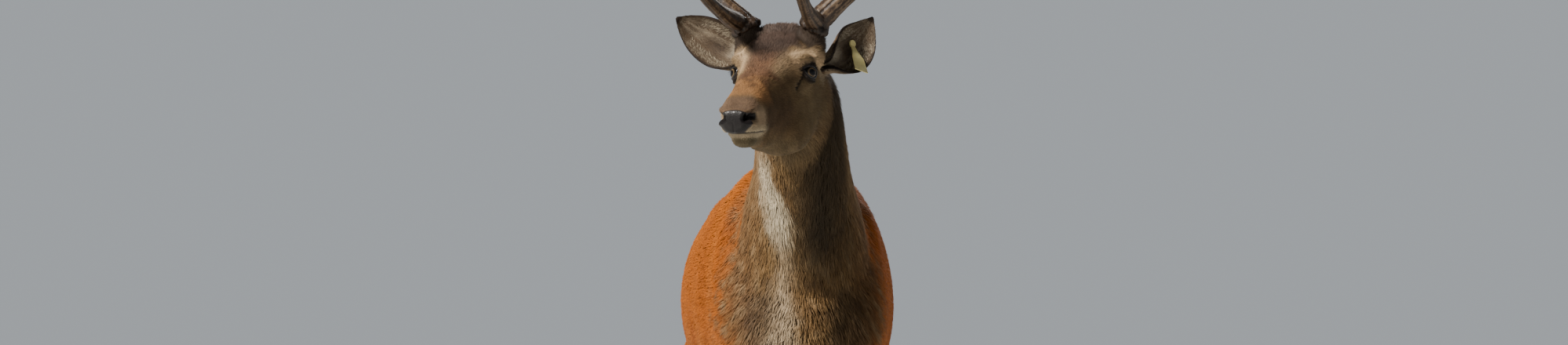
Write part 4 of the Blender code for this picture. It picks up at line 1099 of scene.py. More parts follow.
pieces = {}
for side, hand in HANDS:
    ball = eyeball(side)
    ball.name = f"eyeball_{hand}"
    ball.data.materials.append(eye_finish)
    pieces[ball.name] = (ball, "eye", [f"eye_{hand}"])
    rim = new_piece(f"lid_rim_{hand}", lid_rim(side), rim_finish)
    outwards(rim)
    pieces[rim.name] = (rim, "nose_pad", [])

# A row of stiff black lashes stands out over the upper lid and bends down at its points.
lash_finish, tree, place = new_finish("lash")
dust = noise(place, 700.0, 3.0)
black = mixed(dust, (0.006, 0.005, 0.004), (0.030, 0.022, 0.016))
use_surface(principled(tree, {"Base Color": black, "Roughness": 0.40 + dust * 0.2}))


def lashes(side, count=44):
    """Thin curved cones rooted along the upper lid's edge."""
    centre, level, upright, axis = eye_frame(side)
    rng = np.random.default_rng(70 + side)
    bm = bmesh.new()
    for share in np.linspace(-0.86, 0.90, count) + rng.normal(0, 0.010, count):
        top = lid_heights(share)[0]
        across, up = share * LID_HALF_LENGTH, top + 0.0012
        out = math.sqrt(max((EYE_RADIUS + 0.0019) ** 2 - across**2 - up**2, 1e-8))
        root = centre + across * level + up * upright + out * axis
        away = (root - centre) / np.linalg.norm(root - centre)
        long = rng.uniform(0.0055, 0.0085) * (1 - 0.45 * abs(share) ** 3)
        lean = away * 0.90 + level * (0.30 * share + rng.normal(0, 0.10))
        lean += upright * rng.normal(-0.10, 0.08)
        ring_before = None
        for step, radius in ((0.0, 0.00024), (0.5, 0.00017), (1.0, 0.00005)):
            middle = root + lean * long * step - upright * long * 0.28 * step**2
            ring = [
                bm.verts.new(middle + radius * (level * math.cos(turn) + upright * math.sin(turn)))
                for turn in (0.0, 2.094, 4.189)
            ]
            if ring_before:
                for k in range(3):
                    bm.faces.new((ring_before[k], ring_before[(k + 1) % 3], ring[(k + 1) % 3], ring[k]))
            else:
                bm.faces.new(ring[::-1])
            ring_before = ring
        bm.faces.new(ring_before)
    return made_mesh(bm, "lashes", outwards=True)


for side, hand in HANDS:
    pieces[f"lashes_{hand}"] = (new_piece(f"lashes_{hand}", lashes(side), lash_finish), "nose_pad", [])

# ---- Antlers -------------------------------------------------------------------------------
# Bone grown in one summer: furrowed by the vessels that fed it, beaded with pearls near the
# burr, stained dark and rubbed pale on its ridges and at the points.

BURR = (0.060, -0.050, 0.076)
BURR_AXIS = Vector((0.50, 0.04, 0.87)).normalized()
BURR_RADIUS = 0.0275
# x outwards, forward, up, radius
BEAM = [
    (0.0645, -0.0495, 0.0835, 0.0205),
    (0.077, -0.050, 0.098, 0.0205),
    (0.112, -0.050, 0.130, 0.0185),
    (0.170, -0.074, 0.186, 0.0180),
    (0.232, -0.118, 0.275, 0.0175),
    (0.292, -0.148, 0.390, 0.0170),
    (0.330, -0.136, 0.505, 0.0165),
    (0.343, -0.098, 0.605, 0.0170),
    (0.338, -0.060, 0.685, 0.0140),
    (0.322, -0.030, 0.752, 0.0095),
    (0.304, -0.010, 0.802, 0.0035),
]
TINES = {
    "brow_tine": [
        (0.070, -0.049, 0.092, 0.0110),
        (0.073, -0.012, 0.095, 0.0155),
        (0.080, 0.055, 0.110, 0.0115),
        (0.090, 0.127, 0.139, 0.0098),
        (0.097, 0.180, 0.182, 0.0080),
        (0.099, 0.210, 0.236, 0.0030),
    ],
    "bez_tine": [
        (0.141, -0.062, 0.158, 0.0100),
        (0.160, -0.022, 0.182, 0.0130),
        (0.180, 0.040, 0.218, 0.0105),
        (0.190, 0.088, 0.272, 0.0080),
        (0.188, 0.106, 0.324, 0.0030),
    ],
    "trez_tine": [
        (0.281, -0.144, 0.366, 0.0090),
        (0.286, -0.096, 0.396, 0.0130),
        (0.288, -0.030, 0.448, 0.0105),
        (0.280, 0.016, 0.515, 0.0080),
        (0.266, 0.032, 0.578, 0.0030),
    ],
    "crown_outer_tine": [
        (0.342, -0.102, 0.594, 0.0090),
        (0.372, -0.102, 0.640, 0.0130),
        (0.394, -0.092, 0.705, 0.0095),
        (0.396, -0.078, 0.768, 0.0030),
    ],
    "crown_rear_tine": [
        (0.342, -0.090, 0.624, 0.0090),
        (0.342, -0.128, 0.676, 0.0125),
        (0.338, -0.158, 0.738, 0.0090),
        (0.326, -0.168, 0.800, 0.0030),
    ],
    "crown_inner_tine": [
        (0.338, -0.066, 0.670, 0.0080),
        (0.306, -0.074, 0.708, 0.0115),
        (0.280, -0.082, 0.760, 0.0085),
        (0.264, -0.086, 0.812, 0.0030),
    ],
}
ANTLER_VOXEL = 0.0021
PEARLS = 1900


def horn_line(rows, side):
    """Points down the middle of a tine, their radii, and two directions across each of them."""
    rows = np.array(smooth_rows(rows, 8))
    path = np.array([on_head(side * x, forward, up) for x, forward, up in rows[:, :3]])
    ahead = unit(np.gradient(path, axis=0))
    across = np.empty_like(path)
    last = np.cross(ahead[0], (0.0, 0.0, 1.0))
    for i, way in enumerate(ahead):
        last = last - way * (last @ way)
        last /= np.linalg.norm(last)
        across[i] = last
    length = np.concatenate([[0], np.cumsum(np.linalg.norm(np.diff(path, axis=0), axis=1))])
    other = np.cross(ahead, across)
    return {"path": path, "radius": rows[:, 3], "across": across, "other": other, "length": length}


def horn_tube(line, corners=28):
    turn = np.linspace(0, 2 * math.pi, corners, endpoint=False)
    rings = []
    for centre, radius, across, other in zip(line["path"], line["radius"], line["across"], line["other"]):
        ring = centre + radius * (np.cos(turn)[:, None] * across + np.sin(turn)[:, None] * other)
        rings.append([Vector(point) for point in ring])
    return loft(rings)


def burr_ring(side, corners=96):
    """The beaded collar at an antler's foot."""
    axis = head_way(side * BURR_AXIS.x, BURR_AXIS.y, BURR_AXIS.z)
    across = axis.orthogonal().normalized()
    other = axis.cross(across)
    rings = []
    for along, share in ((0.0, 0.80), (0.003, 0.96), (0.007, 1.0), (0.012, 0.94), (0.017, 0.78)):
        centre = on_head(side * BURR[0], BURR[1], BURR[2]) + axis * along
        ring = []
        for k in range(corners):
            turn = 2 * math.pi * k / corners
            beads = 1 + 0.020 * math.sin(17 * turn) + 0.020 * math.sin(23 * turn + along * 300)
            radius = BURR_RADIUS * share * beads
            ring.append(centre + (across * math.cos(turn) + other * math.sin(turn)) * radius)
        rings.append(ring)
    return loft(rings)


def carve_antler(antler, lines, side, seed):
    """Cuts the furrows and raises the pearls, and marks which places are ridges and which are worn."""
    points, normals = points_of(antler.data), normals_of(antler.data)
    path = np.vstack([line["path"] for line in lines])
    radius = np.concatenate([line["radius"] for line in lines])
    across = np.vstack([line["across"] for line in lines])
    other = np.vstack([line["other"] for line in lines])
    along = np.concatenate([line["length"] for line in lines])
    share = np.concatenate([line["length"] / line["length"][-1] for line in lines])
    owner = np.concatenate([np.full(len(line["radius"]), i) for i, line in enumerate(lines)])
    nearest = np.empty(len(points), int)
    for start in range(0, len(points), 8000):
        gap = np.linalg.norm(points[start : start + 8000, None] - path[None], axis=2) - radius
        nearest[start : start + 8000] = gap.argmin(axis=1)
    away = points - path[nearest]
    turn = np.arctan2((away * other[nearest]).sum(1), (away * across[nearest]).sum(1))
    s, kind = along[nearest], owner[nearest]
    base = np.linalg.norm(points - np.array(on_head(side * BURR[0], BURR[1], BURR[2])), axis=1)
    worn = np.where(kind == 0, ramp(share[nearest], 0.90, 1.0), ramp(share[nearest], 0.62, 0.97))
    rough = (1 - worn) * (0.35 + 0.65 * hump(base, 0, 0.42))
    furrow = 1 - 2 * hump(np.sin(3.5 * turn + 0.7 * np.sin(s / 0.060 + kind) + kind), 0, 0.34)
    furrow += 0.6 - 1.2 * hump(np.sin(5.5 * turn + 1.1 * np.sin(s / 0.042 + 1.0) - kind), 0, 0.36)
    furrow += 0.30 * np.sin(17 * turn + 1.6 * np.sin(s / 0.030 + 2.0)) + 0.30 * ripple(points, 0.016, seed)
    furrow = np.clip(furrow / 1.7, -1.3, 1.0)
    raised = 0.00115 * rough * furrow * np.clip(radius[nearest] / 0.014, 0.4, 1.3)
    rng = np.random.default_rng(seed)
    likely = rough**2 * hump(base, 0, 0.16) + 0.06 * rough * (kind == 0) + 5.0 * (base < 0.036)
    chosen = rng.choice(len(points), PEARLS, replace=False, p=likely / likely.sum())
    tree = KDTree(len(chosen))
    for i, index in enumerate(chosen):
        tree.insert(points[index], i)
    tree.balance()
    size = rng.uniform(0.0013, 0.0024, len(chosen))
    found = [tree.find(point)[1:] for point in points]
    which = np.array([index for index, _ in found])
    gap = np.array([distance for _, distance in found])
    bead = np.sqrt(np.clip(1 - (gap / size[which]) ** 2, 0, 1))
    raised += bead * size[which] * 0.26 * (1 + 0.5 * (base < 0.036))
    raised += 0.0016 * ripple(points, 0.0080, seed + 40) * np.exp(-((base / 0.038) ** 4))
    put_points(antler.data, points + normals * raised[:, None])
    ridge = np.clip(0.5 + 0.5 * furrow * rough + 0.40 * bead, 0, 1)
    put_values(antler.data, "ridge", ridge * (1 - 0.55 * np.exp(-((base / 0.040) ** 4))))
    put_values(antler.data, "worn", worn)


antler_finish, tree, place = new_finish("antler")
ridge = attribute(tree, "ridge")
worn = attribute(tree, "worn")
mottle = noise(place, 55.0, 6.0, Roughness=0.65)
grain = noise(place, 600.0, 4.0)
lift = fitted(ridge + mottle * 0.7, 0.60, 1.50)
bone = mixed(lift, (0.008, 0.004, 0.002), (0.066, 0.033, 0.014))
crest = fitted(ridge + mottle * 0.9, 1.22, 1.75, end=0.75)
bone = mixed(crest, bone, (0.260, 0.180, 0.105))
polish = fitted(worn + mottle * 0.35, 0.35, 1.15)
stained = mixed(polish, bone, (0.560, 0.460, 0.330))
pits = bump(grain + mottle * 0.6, 0.45, 0.0006)
gloss = 0.50 - worn * 0.14 + grain * 0.10
use_surface(principled(tree, {"Base Color": stained, "Roughness": gloss, "Normal": pits}))

for side, hand in HANDS:
    lines = [horn_line(BEAM, side)] + [horn_line(rows, side) for rows in TINES.values()]
    mesh = join_meshes(f"antler_{hand}_whole", [*(horn_tube(line) for line in lines), burr_ring(side)])
    antler = new_piece(f"antler_{hand}_whole", mesh, antler_finish)
    grown = antler.modifiers.new("grown together", "REMESH")
    grown.mode = "VOXEL"
    grown.voxel_size = ANTLER_VOXEL
    softened = antler.modifiers.new("softened", "SMOOTH")
    softened.factor, softened.iterations = 0.5, 3
    applied(antler)
    carve_antler(antler, lines, side, 11 + side)
    antler.data.materials.clear()
    antler.data.materials.append(antler_finish)
    antler.data.shade_smooth()
    parts = [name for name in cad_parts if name.startswith(f"antler_{hand}_")]
    pieces[antler.name] = (antler, "antler", parts)

# ---- Hooves and dewclaws -------------------------------------------------------------------
# Each foot has two claws of dark horn ringed by growth, and two small dewclaws behind.

horn_finish, tree, place = new_finish("horn")
rings = add_node(
    tree,
    "ShaderNodeTexWave",
    {"Vector": place, "Scale": 130.0, "Distortion": 2.4, "Detail": 3.0, "Detail Scale": 1.6},
    bands_direction="Z",
)
stain = noise(place, 70.0, 5.0)
fibres = noise(place, 520.0, 3.0)
horn = mixed(stain * 0.8 + rings * 0.2, (0.008, 0.006, 0.005), (0.052, 0.037, 0.026))
ridged = bump(rings + fibres * 0.35, 0.35, 0.0006)
use_surface(principled(tree, {"Base Color": horn, "Roughness": 0.36 + stain * 0.25, "Normal": ridged}))
# height at the toe, height at the heel, share of the length, shift back, share of the width
CLAW_LEVELS = [
    (0.0000, 0.0000, 0.915, 0.000, 0.88),
    (0.0012, 0.0012, 0.975, 0.000, 0.97),
    (0.0040, 0.0040, 1.000, 0.000, 1.00),
    (0.0260, 0.0180, 0.900, 0.006, 1.00),
    (0.0595, 0.0395, 0.660, 0.016, 0.97),
]
CLAW_WIDTH, CLAW_TOE, CLAW_HEEL = 0.0143, 0.050, 0.030


def claw(foot_x, foot_y, away, corners=36):
    """Half of a cloven hoof: flat sole, pointed toe, walls ringed by growth."""
    rings = []
    for toe_height, heel_height, kept, shift, broad in smooth_rows(CLAW_LEVELS, 7):
        swell = 1 + 0.005 * math.sin(toe_height / 0.0061 * 2 * math.pi) * min(1.0, toe_height / 0.006)
        heel = CLAW_HEEL * (1 - 0.52 * (toe_height / 0.0595) ** 2)
        ring = []
        for k in range(corners):
            turn = 2 * math.pi * k / corners
            toe = max(0.0, math.sin(turn))
            wide = CLAW_WIDTH * broad * math.cos(turn) * (1 - 0.38 * toe**2) * swell
            if wide * away < 0:
                wide *= 0.80
            along = -math.sin(turn) * (CLAW_TOE if toe > 0 else heel) * kept * min(swell, 1.0) + shift
            x = foot_x + away * (0.00175 + CLAW_WIDTH * (0.82 - 0.20 * toe)) + wide
            blend = (along + CLAW_TOE) / (CLAW_TOE + CLAW_HEEL)
            ring.append(Vector((x, foot_y + along, toe_height + (heel_height - toe_height) * blend)))
        rings.append(ring)
    return loft(rings)


def spur(foot_x, foot_y, away):
    """A small horn cone behind the fetlock, pointing down and back."""
    top = Vector((foot_x + away * 0.0165, foot_y + 0.052, 0.124))
    down = Vector((away * 0.003, 0.012, -0.027))
    rows = [(0.0, 0.0086), (0.25, 0.0093), (0.5, 0.0084), (0.8, 0.0060), (1.0, 0.0022)]
    return limb_loft([(*(top + down * share), r, r * 0.8) for share, r in rows], steps=4, corners=20)


for pair, rows, steps in (("fore", FORE_ROWS, FORE_STEP), ("hind", HIND_ROWS, HIND_STEP)):
    for side, hand in HANDS:
        foot_x, foot_y = leg_rows(rows, side, steps[side])[-2][:2]
        shapes = [shape(foot_x, foot_y, away) for shape in (claw, spur) for away in (-1, 1)]
        hoof = new_piece(f"hooves_{pair}_{hand}", join_meshes("hooves", shapes), horn_finish)
        outwards(hoof)
        hoof.data.shade_smooth()
        replaced = []
        for kind in ("hoof", "dewclaw"):
            replaced += [f"{pair}{kind}_{hand}_{place}" for place in ("inner", "outer")]
        pieces[hoof.name] = (hoof, "hoof_horn", replaced)

# ---- Ear tag -------------------------------------------------------------------------------
# Two moulded plates of soft yellow plastic, one on each side of the left ear, faded by weather.

tag_finish, tree, place = new_finish("tag plastic")
clouded = noise(place, 60.0, 6.0)
scuffs = noise(place, 380.0, 4.0)
yellow = mixed(clouded, (0.62, 0.50, 0.17), (0.83, 0.75, 0.36))
dulled = mixed(fitted(scuffs, 0.60, 0.78, end=0.6), yellow, (0.36, 0.30, 0.17))
grained = bump(scuffs, 0.25, 0.0004)
looks = {
    "Base Color": dulled,
    "Roughness": 0.38 + scuffs * 0.25,
    "Normal": grained,
    "Subsurface Weight": 0.15,
    "Subsurface Radius": (0.004, 0.003, 0.001),
    "Coat Weight": 0.15,
}
use_surface(principled(tree, looks))
for name in ("ear_tag_front", "ear_tag_back"):
    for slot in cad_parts[name].material_slots:
        slot.material = tag_finish

# ---- Coat ----------------------------------------------------------------------------------
# Tufts of hair rooted in the skin and lying along the body: backwards on the barrel, down the
# throat and the legs, back from the nose, longest in the ruff of the neck, shortest on the
# face and feet. Each is a narrow blade bent over, and long ones are ridged down the middle.

skin.data.calc_loop_triangles()
corners = np.empty(len(skin.data.loop_triangles) * 3, int)
skin.data.loop_triangles.foreach_get("vertices", corners)
corners = corners.reshape(-1, 3)
points, normals = points_of(skin.data), normals_of(skin.data)
triangle = points[corners]
edges = triangle[:, 1:] - triangle[:, :1]
areas = np.linalg.norm(np.cross(edges[:, 0], edges[:, 1]), axis=1) / 2
bare_here = np.maximum(pad, np.clip(shade * 1.4, 0, 1))
haired = 1 - bare_here[corners].max(axis=1)
haired *= ear_mark[corners].max(axis=1) < 0.25
from_lids = lid_margin(points)[corners].min(axis=1)
haired *= from_lids > 0.0012
haired *= (shade[corners].max(axis=1) < 0.5) | (from_lids < 0.01)


def flow(points, normals):
    """The way the hair lies at each point, along the skin."""
    x, y, z = np.abs(points[:, 0]), points[:, 1], points[:, 2]
    head, neck = headness(points)[:, None], neckness(points)[:, None]
    rump = ramp(y, 0.78, 0.98)[:, None]
    barrel = unit(np.array([[0.0, 1.0, -0.34]]) * (1 - rump) + np.array([[0.0, 0.30, -0.95]]) * rump)
    brisket = ramp(-normals[:, 1], 0.25, 0.75)[:, None] * ramp(-y, -0.02, 0.10)[:, None]
    barrel = unit(barrel * (1 - brisket) + np.array([[0.0, 0.15, -1.0]]) * brisket)
    limb = ramp(-z, -0.78, -0.62)[:, None] * (np.abs(normals[:, 2]) < 0.8)[:, None]
    barrel = unit(barrel * (1 - limb) + np.array([[0.0, 0.10, -1.0]]) * limb)
    tail = (ramp(y, 1.036, 1.048) * (x < 0.050))[:, None]
    barrel = barrel * (1 - tail) + np.array([[0.0, 0.05, -1.0]]) * tail
    ruff = np.array([[0.03, 0.62, -0.78]])
    ruff = ruff + np.array([[0.0, -0.30, -0.35]]) * ramp(-normals[:, 1], 0.0, 0.8)[:, None]
    ruff = ruff + np.array([[0.0, 0.45, 0.10]]) * ramp(normals[:, 2], 0.3, 0.9)[:, None]
    found = barrel * (1 - neck) + unit(ruff) * neck
    places = head_places(points)
    down = -0.30 * ramp(-places[:, 2], 0.0, 0.06)
    back = np.stack([0.10 * np.sign(places[:, 0]), -np.ones(len(points)), down], axis=1)
    stump = ramp(places[:, 2], 0.046, 0.062) * ramp(np.abs(places[:, 0]), 0.030, 0.042)
    back = back * (1 - stump[:, None]) + np.array([[0.0, -0.1, 1.0]]) * stump[:, None]
    turn = np.array(HEAD_FRAME.to_3x3())
    back = np.stack([back[:, 0], -back[:, 1], back[:, 2]], axis=1) @ turn.T
    found = found * (1 - head) + unit(back) * head
    for eye_side in SIDES:
        centre = eye_frame(eye_side)[0]
        towards = unit(centre - points)
        near = 1 - ramp(np.linalg.norm(points - centre, axis=1), EYE_RADIUS + 0.004, EYE_RADIUS + 0.020)
        found = found - towards * (np.clip((found * towards).sum(1), 0, None) * near)[:, None] * 1.3
    found = found - normals * (found * normals).sum(1, keepdims=True)
    return unit(found)


def hair_length(points):
    """Length and width of a tuft at each point."""
    head, neck = headness(points), neckness(points)
    y, z = points[:, 1], points[:, 2]
    leg = ramp(-z, -0.74, -0.58)
    foot = ramp(-z, -0.16, -0.08)
    length = 0.021 * (1 - leg) + (0.0105 - 0.0035 * foot) * leg
    length += 0.010 * ramp(y, 1.02, 1.045) * (np.abs(points[:, 0]) < 0.05)
    length += 0.006 * ramp(-y, 0.02, 0.14) * (1 - leg)
    length = length * (1 - neck) + (0.034 - 0.013 * ramp(-z, -1.06, -0.94)) * neck
    places = head_places(points)
    face = 0.0100 - 0.0040 * ramp(places[:, 1], -0.06, 0.05) - 0.0018 * ramp(places[:, 1], 0.14, 0.20)
    face -= 0.0028 * (1 - ramp(lid_margin(points), 0.002, 0.009))
    poll = ramp(places[:, 2], 0.040, 0.055) * ramp(-places[:, 1], -0.02, 0.02)
    poll *= ramp(-np.abs(places[:, 0]), -0.045, -0.030)
    face += 0.0050 * poll + 0.0110 * ramp(-places[:, 1], 0.060, 0.095)
    length = length * (1 - head) + face * head
    width = np.interp(length, [0.004, 0.010, 0.021, 0.034], [0.0007, 0.0010, 0.0018, 0.0021])
    return length, width * (1 - 0.15 * head)


def scatter(weight, count, seed):
    """Even random places on the skin, in proportion to each triangle's area and weight."""
    rng = np.random.default_rng(seed)
    heap = np.cumsum(areas * weight)
    which = np.searchsorted(heap, rng.uniform(0, heap[-1], count))
    which = np.minimum(which, len(areas) - 1)
    a, b = rng.uniform(size=(2, count))
    fold = a + b > 1
    a, b = np.where(fold, 1 - a, a), np.where(fold, 1 - b, b)
    share = np.stack([1 - a - b, a, b], axis=1)[:, :, None]
    corner = corners[which]
    roots = (points[corner] * share).sum(axis=1)
    return roots, unit((normals[corner] * share).sum(axis=1)), rng


def grow(name, roots, up, way, sizes, colours, unwrap, rng, ridged=True, wild=0.15):
    """Builds one mesh of tufts from arrays of roots, directions, colours and length, width, depth."""
    count, (length, width, depth) = len(roots), sizes
    beside = np.cross(way, up)
    way = unit(way + beside * rng.normal(0, wild, count)[:, None])
    clump = ripple(roots, 0.030, 21)
    way = unit(way + beside * (0.16 * clump)[:, None])
    beside = unit(np.cross(way, up))
    length = length * rng.uniform(0.72, 1.25, count) * (1 + 0.10 * clump)
    lift = np.clip(0.85 * depth / length, 0.05, 0.75) * rng.uniform(0.6, 1.15, count)
    half = (width * rng.uniform(0.75, 1.25, count) / 2)[:, None]
    root = roots - up * 0.0008
    middle = roots + way * (0.50 * length)[:, None] + up * (np.minimum(lift * 0.72, 0.55) * length)[:, None]
    tip = roots + way * length[:, None] + up * (lift * length)[:, None]
    if ridged:
        crown = up * half * 0.75
        rows = [root - beside * half, root + crown, root + beside * half]
        rows += [middle - beside * half * 0.85, middle + crown, middle + beside * half * 0.85, tip]
        pattern = [(0, 1, 4), (0, 4, 3), (1, 2, 5), (1, 5, 4), (3, 4, 6), (4, 5, 6)]
        reach = [0, 0, 0, 0.5, 0.5, 0.5, 1]
    else:
        rows = [root - beside * half, root + beside * half]
        rows += [middle - beside * half * 0.8, middle + beside * half * 0.8, tip]
        pattern = [(0, 1, 3), (0, 3, 2), (2, 3, 4)]
        reach = [0, 0, 0.5, 0.5, 1]
    each = len(rows)
    verts = np.stack(rows, axis=1).reshape(-1, 3)
    faces = (np.array(pattern)[None] + (np.arange(count) * each)[:, None, None]).reshape(-1, 3)
    mesh = bpy.data.meshes.new(name)
    mesh.vertices.add(len(verts))
    mesh.vertices.foreach_set("co", verts.astype(np.float32).ravel())
    mesh.loops.add(faces.size)
    mesh.loops.foreach_set("vertex_index", faces.ravel())
    mesh.polygons.add(len(faces))
    mesh.polygons.foreach_set("loop_start", np.arange(0, faces.size, 3))
    mesh.update(calc_edges=True)
    tone = rng.uniform(0.72, 1.28, count) * (1 + 0.12 * clump)
    put_colours(mesh, "markings", np.repeat(colours * tone[:, None], each, axis=0))
    put_values(mesh, "reach", np.tile(np.array(reach, float), count))
    patch = np.repeat(unwrap, each, axis=0)
    foot = [(-0.0015, 0.0), (0.0, 0.0), (0.0015, 0.0)]
    waist = [(-0.0012, 0.0015), (0.0, 0.0015), (0.0012, 0.0015)]
    corner_places = np.array([*foot, *waist, (0.0, 0.003)])
    if not ridged:
        corner_places = corner_places[[0, 2, 3, 5, 6]]
    patch = patch + np.tile(corner_places, (count, 1))
    layer = mesh.uv_layers.new(name="OFBake")
    layer.data.foreach_set("uv", patch[faces.ravel()].astype(np.float32).ravel())
    mesh.shade_smooth()
    return mesh


def around(a, b):
    """The turn about an axis as a share of the whole turn."""
    return 0.5 + np.arctan2(a, b) / (2 * math.pi) * 0.98


def laid_out(turn, share):
    """Places on an unwrap, from the turn about the form and the share of the way along it."""
    return np.stack([turn, np.clip(share, 0.003, 0.99)], axis=1)


def barrel_unwrap(roots):
    return laid_out(around(roots[:, 0], roots[:, 2] - 0.95), (roots[:, 1] + 0.35) / 1.5)


def neck_unwrap(roots):
    heights = [0.95, 1.08, 1.16, 1.24, 1.33]
    axis_x = np.interp(roots[:, 2], heights, [0.0, 0.0, -0.006, -0.016, -0.046])
    axis_y = np.interp(roots[:, 2], heights, [0.0, -0.10, -0.22, -0.33, -0.50])
    return laid_out(around(roots[:, 0] - axis_x, roots[:, 1] - axis_y), (roots[:, 2] - 0.75) / 0.75)


def leg_unwrap(roots):
    fore = roots[:, 1] < 0.45
    axis_y = np.where(fore, 0.02, np.interp(roots[:, 2], [0.0, 0.5, 0.8], [0.80, 0.93, 0.86]))
    turn = around(np.abs(roots[:, 0]) - 0.108, roots[:, 1] - axis_y)
    return laid_out(0.25 * turn + 0.5 * (roots[:, 0] > 0) + 0.25 * fore, roots[:, 2])


def head_unwrap(roots):
    places = head_places(roots)
    return laid_out(around(places[:, 0], places[:, 2] + 0.03), (places[:, 1] + 0.20) / 0.50)


coat_finish, tree, place = new_finish("coat")
marking = attribute(tree, "markings", "Color")
reach = attribute(tree, "reach")
flecks = noise(place, 900.0, 2.0)
tone = 0.80 + reach * 0.26 + flecks * 0.22
strands = bump(flecks, 0.3, 0.0005)
looks = {
    "Base Color": multiplied(marking, tone),
    "Roughness": 0.62,
    "Normal": strands,
    "Specular IOR Level": 0.16,
    "Sheen Weight": 0.03,
    "Sheen Roughness": 0.5,
}
use_surface(principled(tree, looks))

middle = triangle.mean(axis=1)
left = middle[:, 0] > 0
fore, before_flank = middle[:, 1] < 0.45, middle[:, 1] < 0.42
share_head, share_neck = headness(middle), neckness(middle)
low = ramp(-middle[:, 2], -0.70, -0.66)
on_barrel = (1 - share_head) * (1 - share_neck) * (1 - low)
on_neck, on_legs = (1 - share_head) * share_neck, (1 - share_head) * low
GREY, FOX = "grey_brown_coat", "red_coat"
coats = [
    ("coat_head", share_head, 62000, head_unwrap, GREY),
    ("coat_neck_left", on_neck * left, 21000, neck_unwrap, GREY),
    ("coat_neck_right", on_neck * ~left, 25000, neck_unwrap, GREY),
    ("coat_barrel_left", on_barrel * before_flank * left, 26400, barrel_unwrap, FOX),
    ("coat_barrel_right", on_barrel * before_flank * ~left, 26400, barrel_unwrap, FOX),
    ("coat_haunch_left", on_barrel * ~before_flank * left, 26400, barrel_unwrap, FOX),
    ("coat_haunch_right", on_barrel * ~before_flank * ~left, 26400, barrel_unwrap, FOX),
    ("coat_forelegs", on_legs * fore, 44000, leg_unwrap, GREY),
    ("coat_hindlegs", on_legs * ~fore, 52000, leg_unwrap, GREY),
]
for seed, (name, weight, count, unwrap, slot) in enumerate(coats):
    finest = name in ("coat_head", "coat_forelegs", "coat_hindlegs")
    roots, up, rng = scatter(weight * haired, count // (1), seed)
    sizes = (*hair_length(roots), coat_depth(roots))
    mesh = grow(name, roots, up, flow(roots, up), sizes, coat_colours(roots), unwrap(roots), rng, not finest)
    pieces[name] = (new_piece(name, mesh, coat_finish), slot, [])

# The ear's back is short-haired with a dark rim. Its hollow is lined with fine hair, brown in the
# middle, with a pale streak up from the root, and long pale hairs lean in from both edges.
def ear_lie(side, share, turn, depth):
    """Roots on an ear, the way straight off its back, and the way along it to its tip."""
    depth = np.full(len(share), depth)
    step = np.full(len(share), 0.004)
    ahead = ear_points(side, share + step, turn, depth)[0] - ear_points(side, share - step, turn, depth)[0]
    beside = ear_points(side, share, turn + step, depth)[0] - ear_points(side, share, turn - step, depth)[0]
    roots, facing, _ = ear_points(side, share, turn, depth)
    off = unit(np.cross(unit(ahead), unit(beside)))
    return roots, off * np.sign((off * facing).sum(1))[:, None], unit(ahead)


def ear_unwrap(start, share, turn):
    """Places on one third of the ear's unwrap: its back, its lining or its fringe."""
    return np.stack([start + 0.30 * (turn + 1) / 2, 0.02 + 0.95 * share], axis=1)


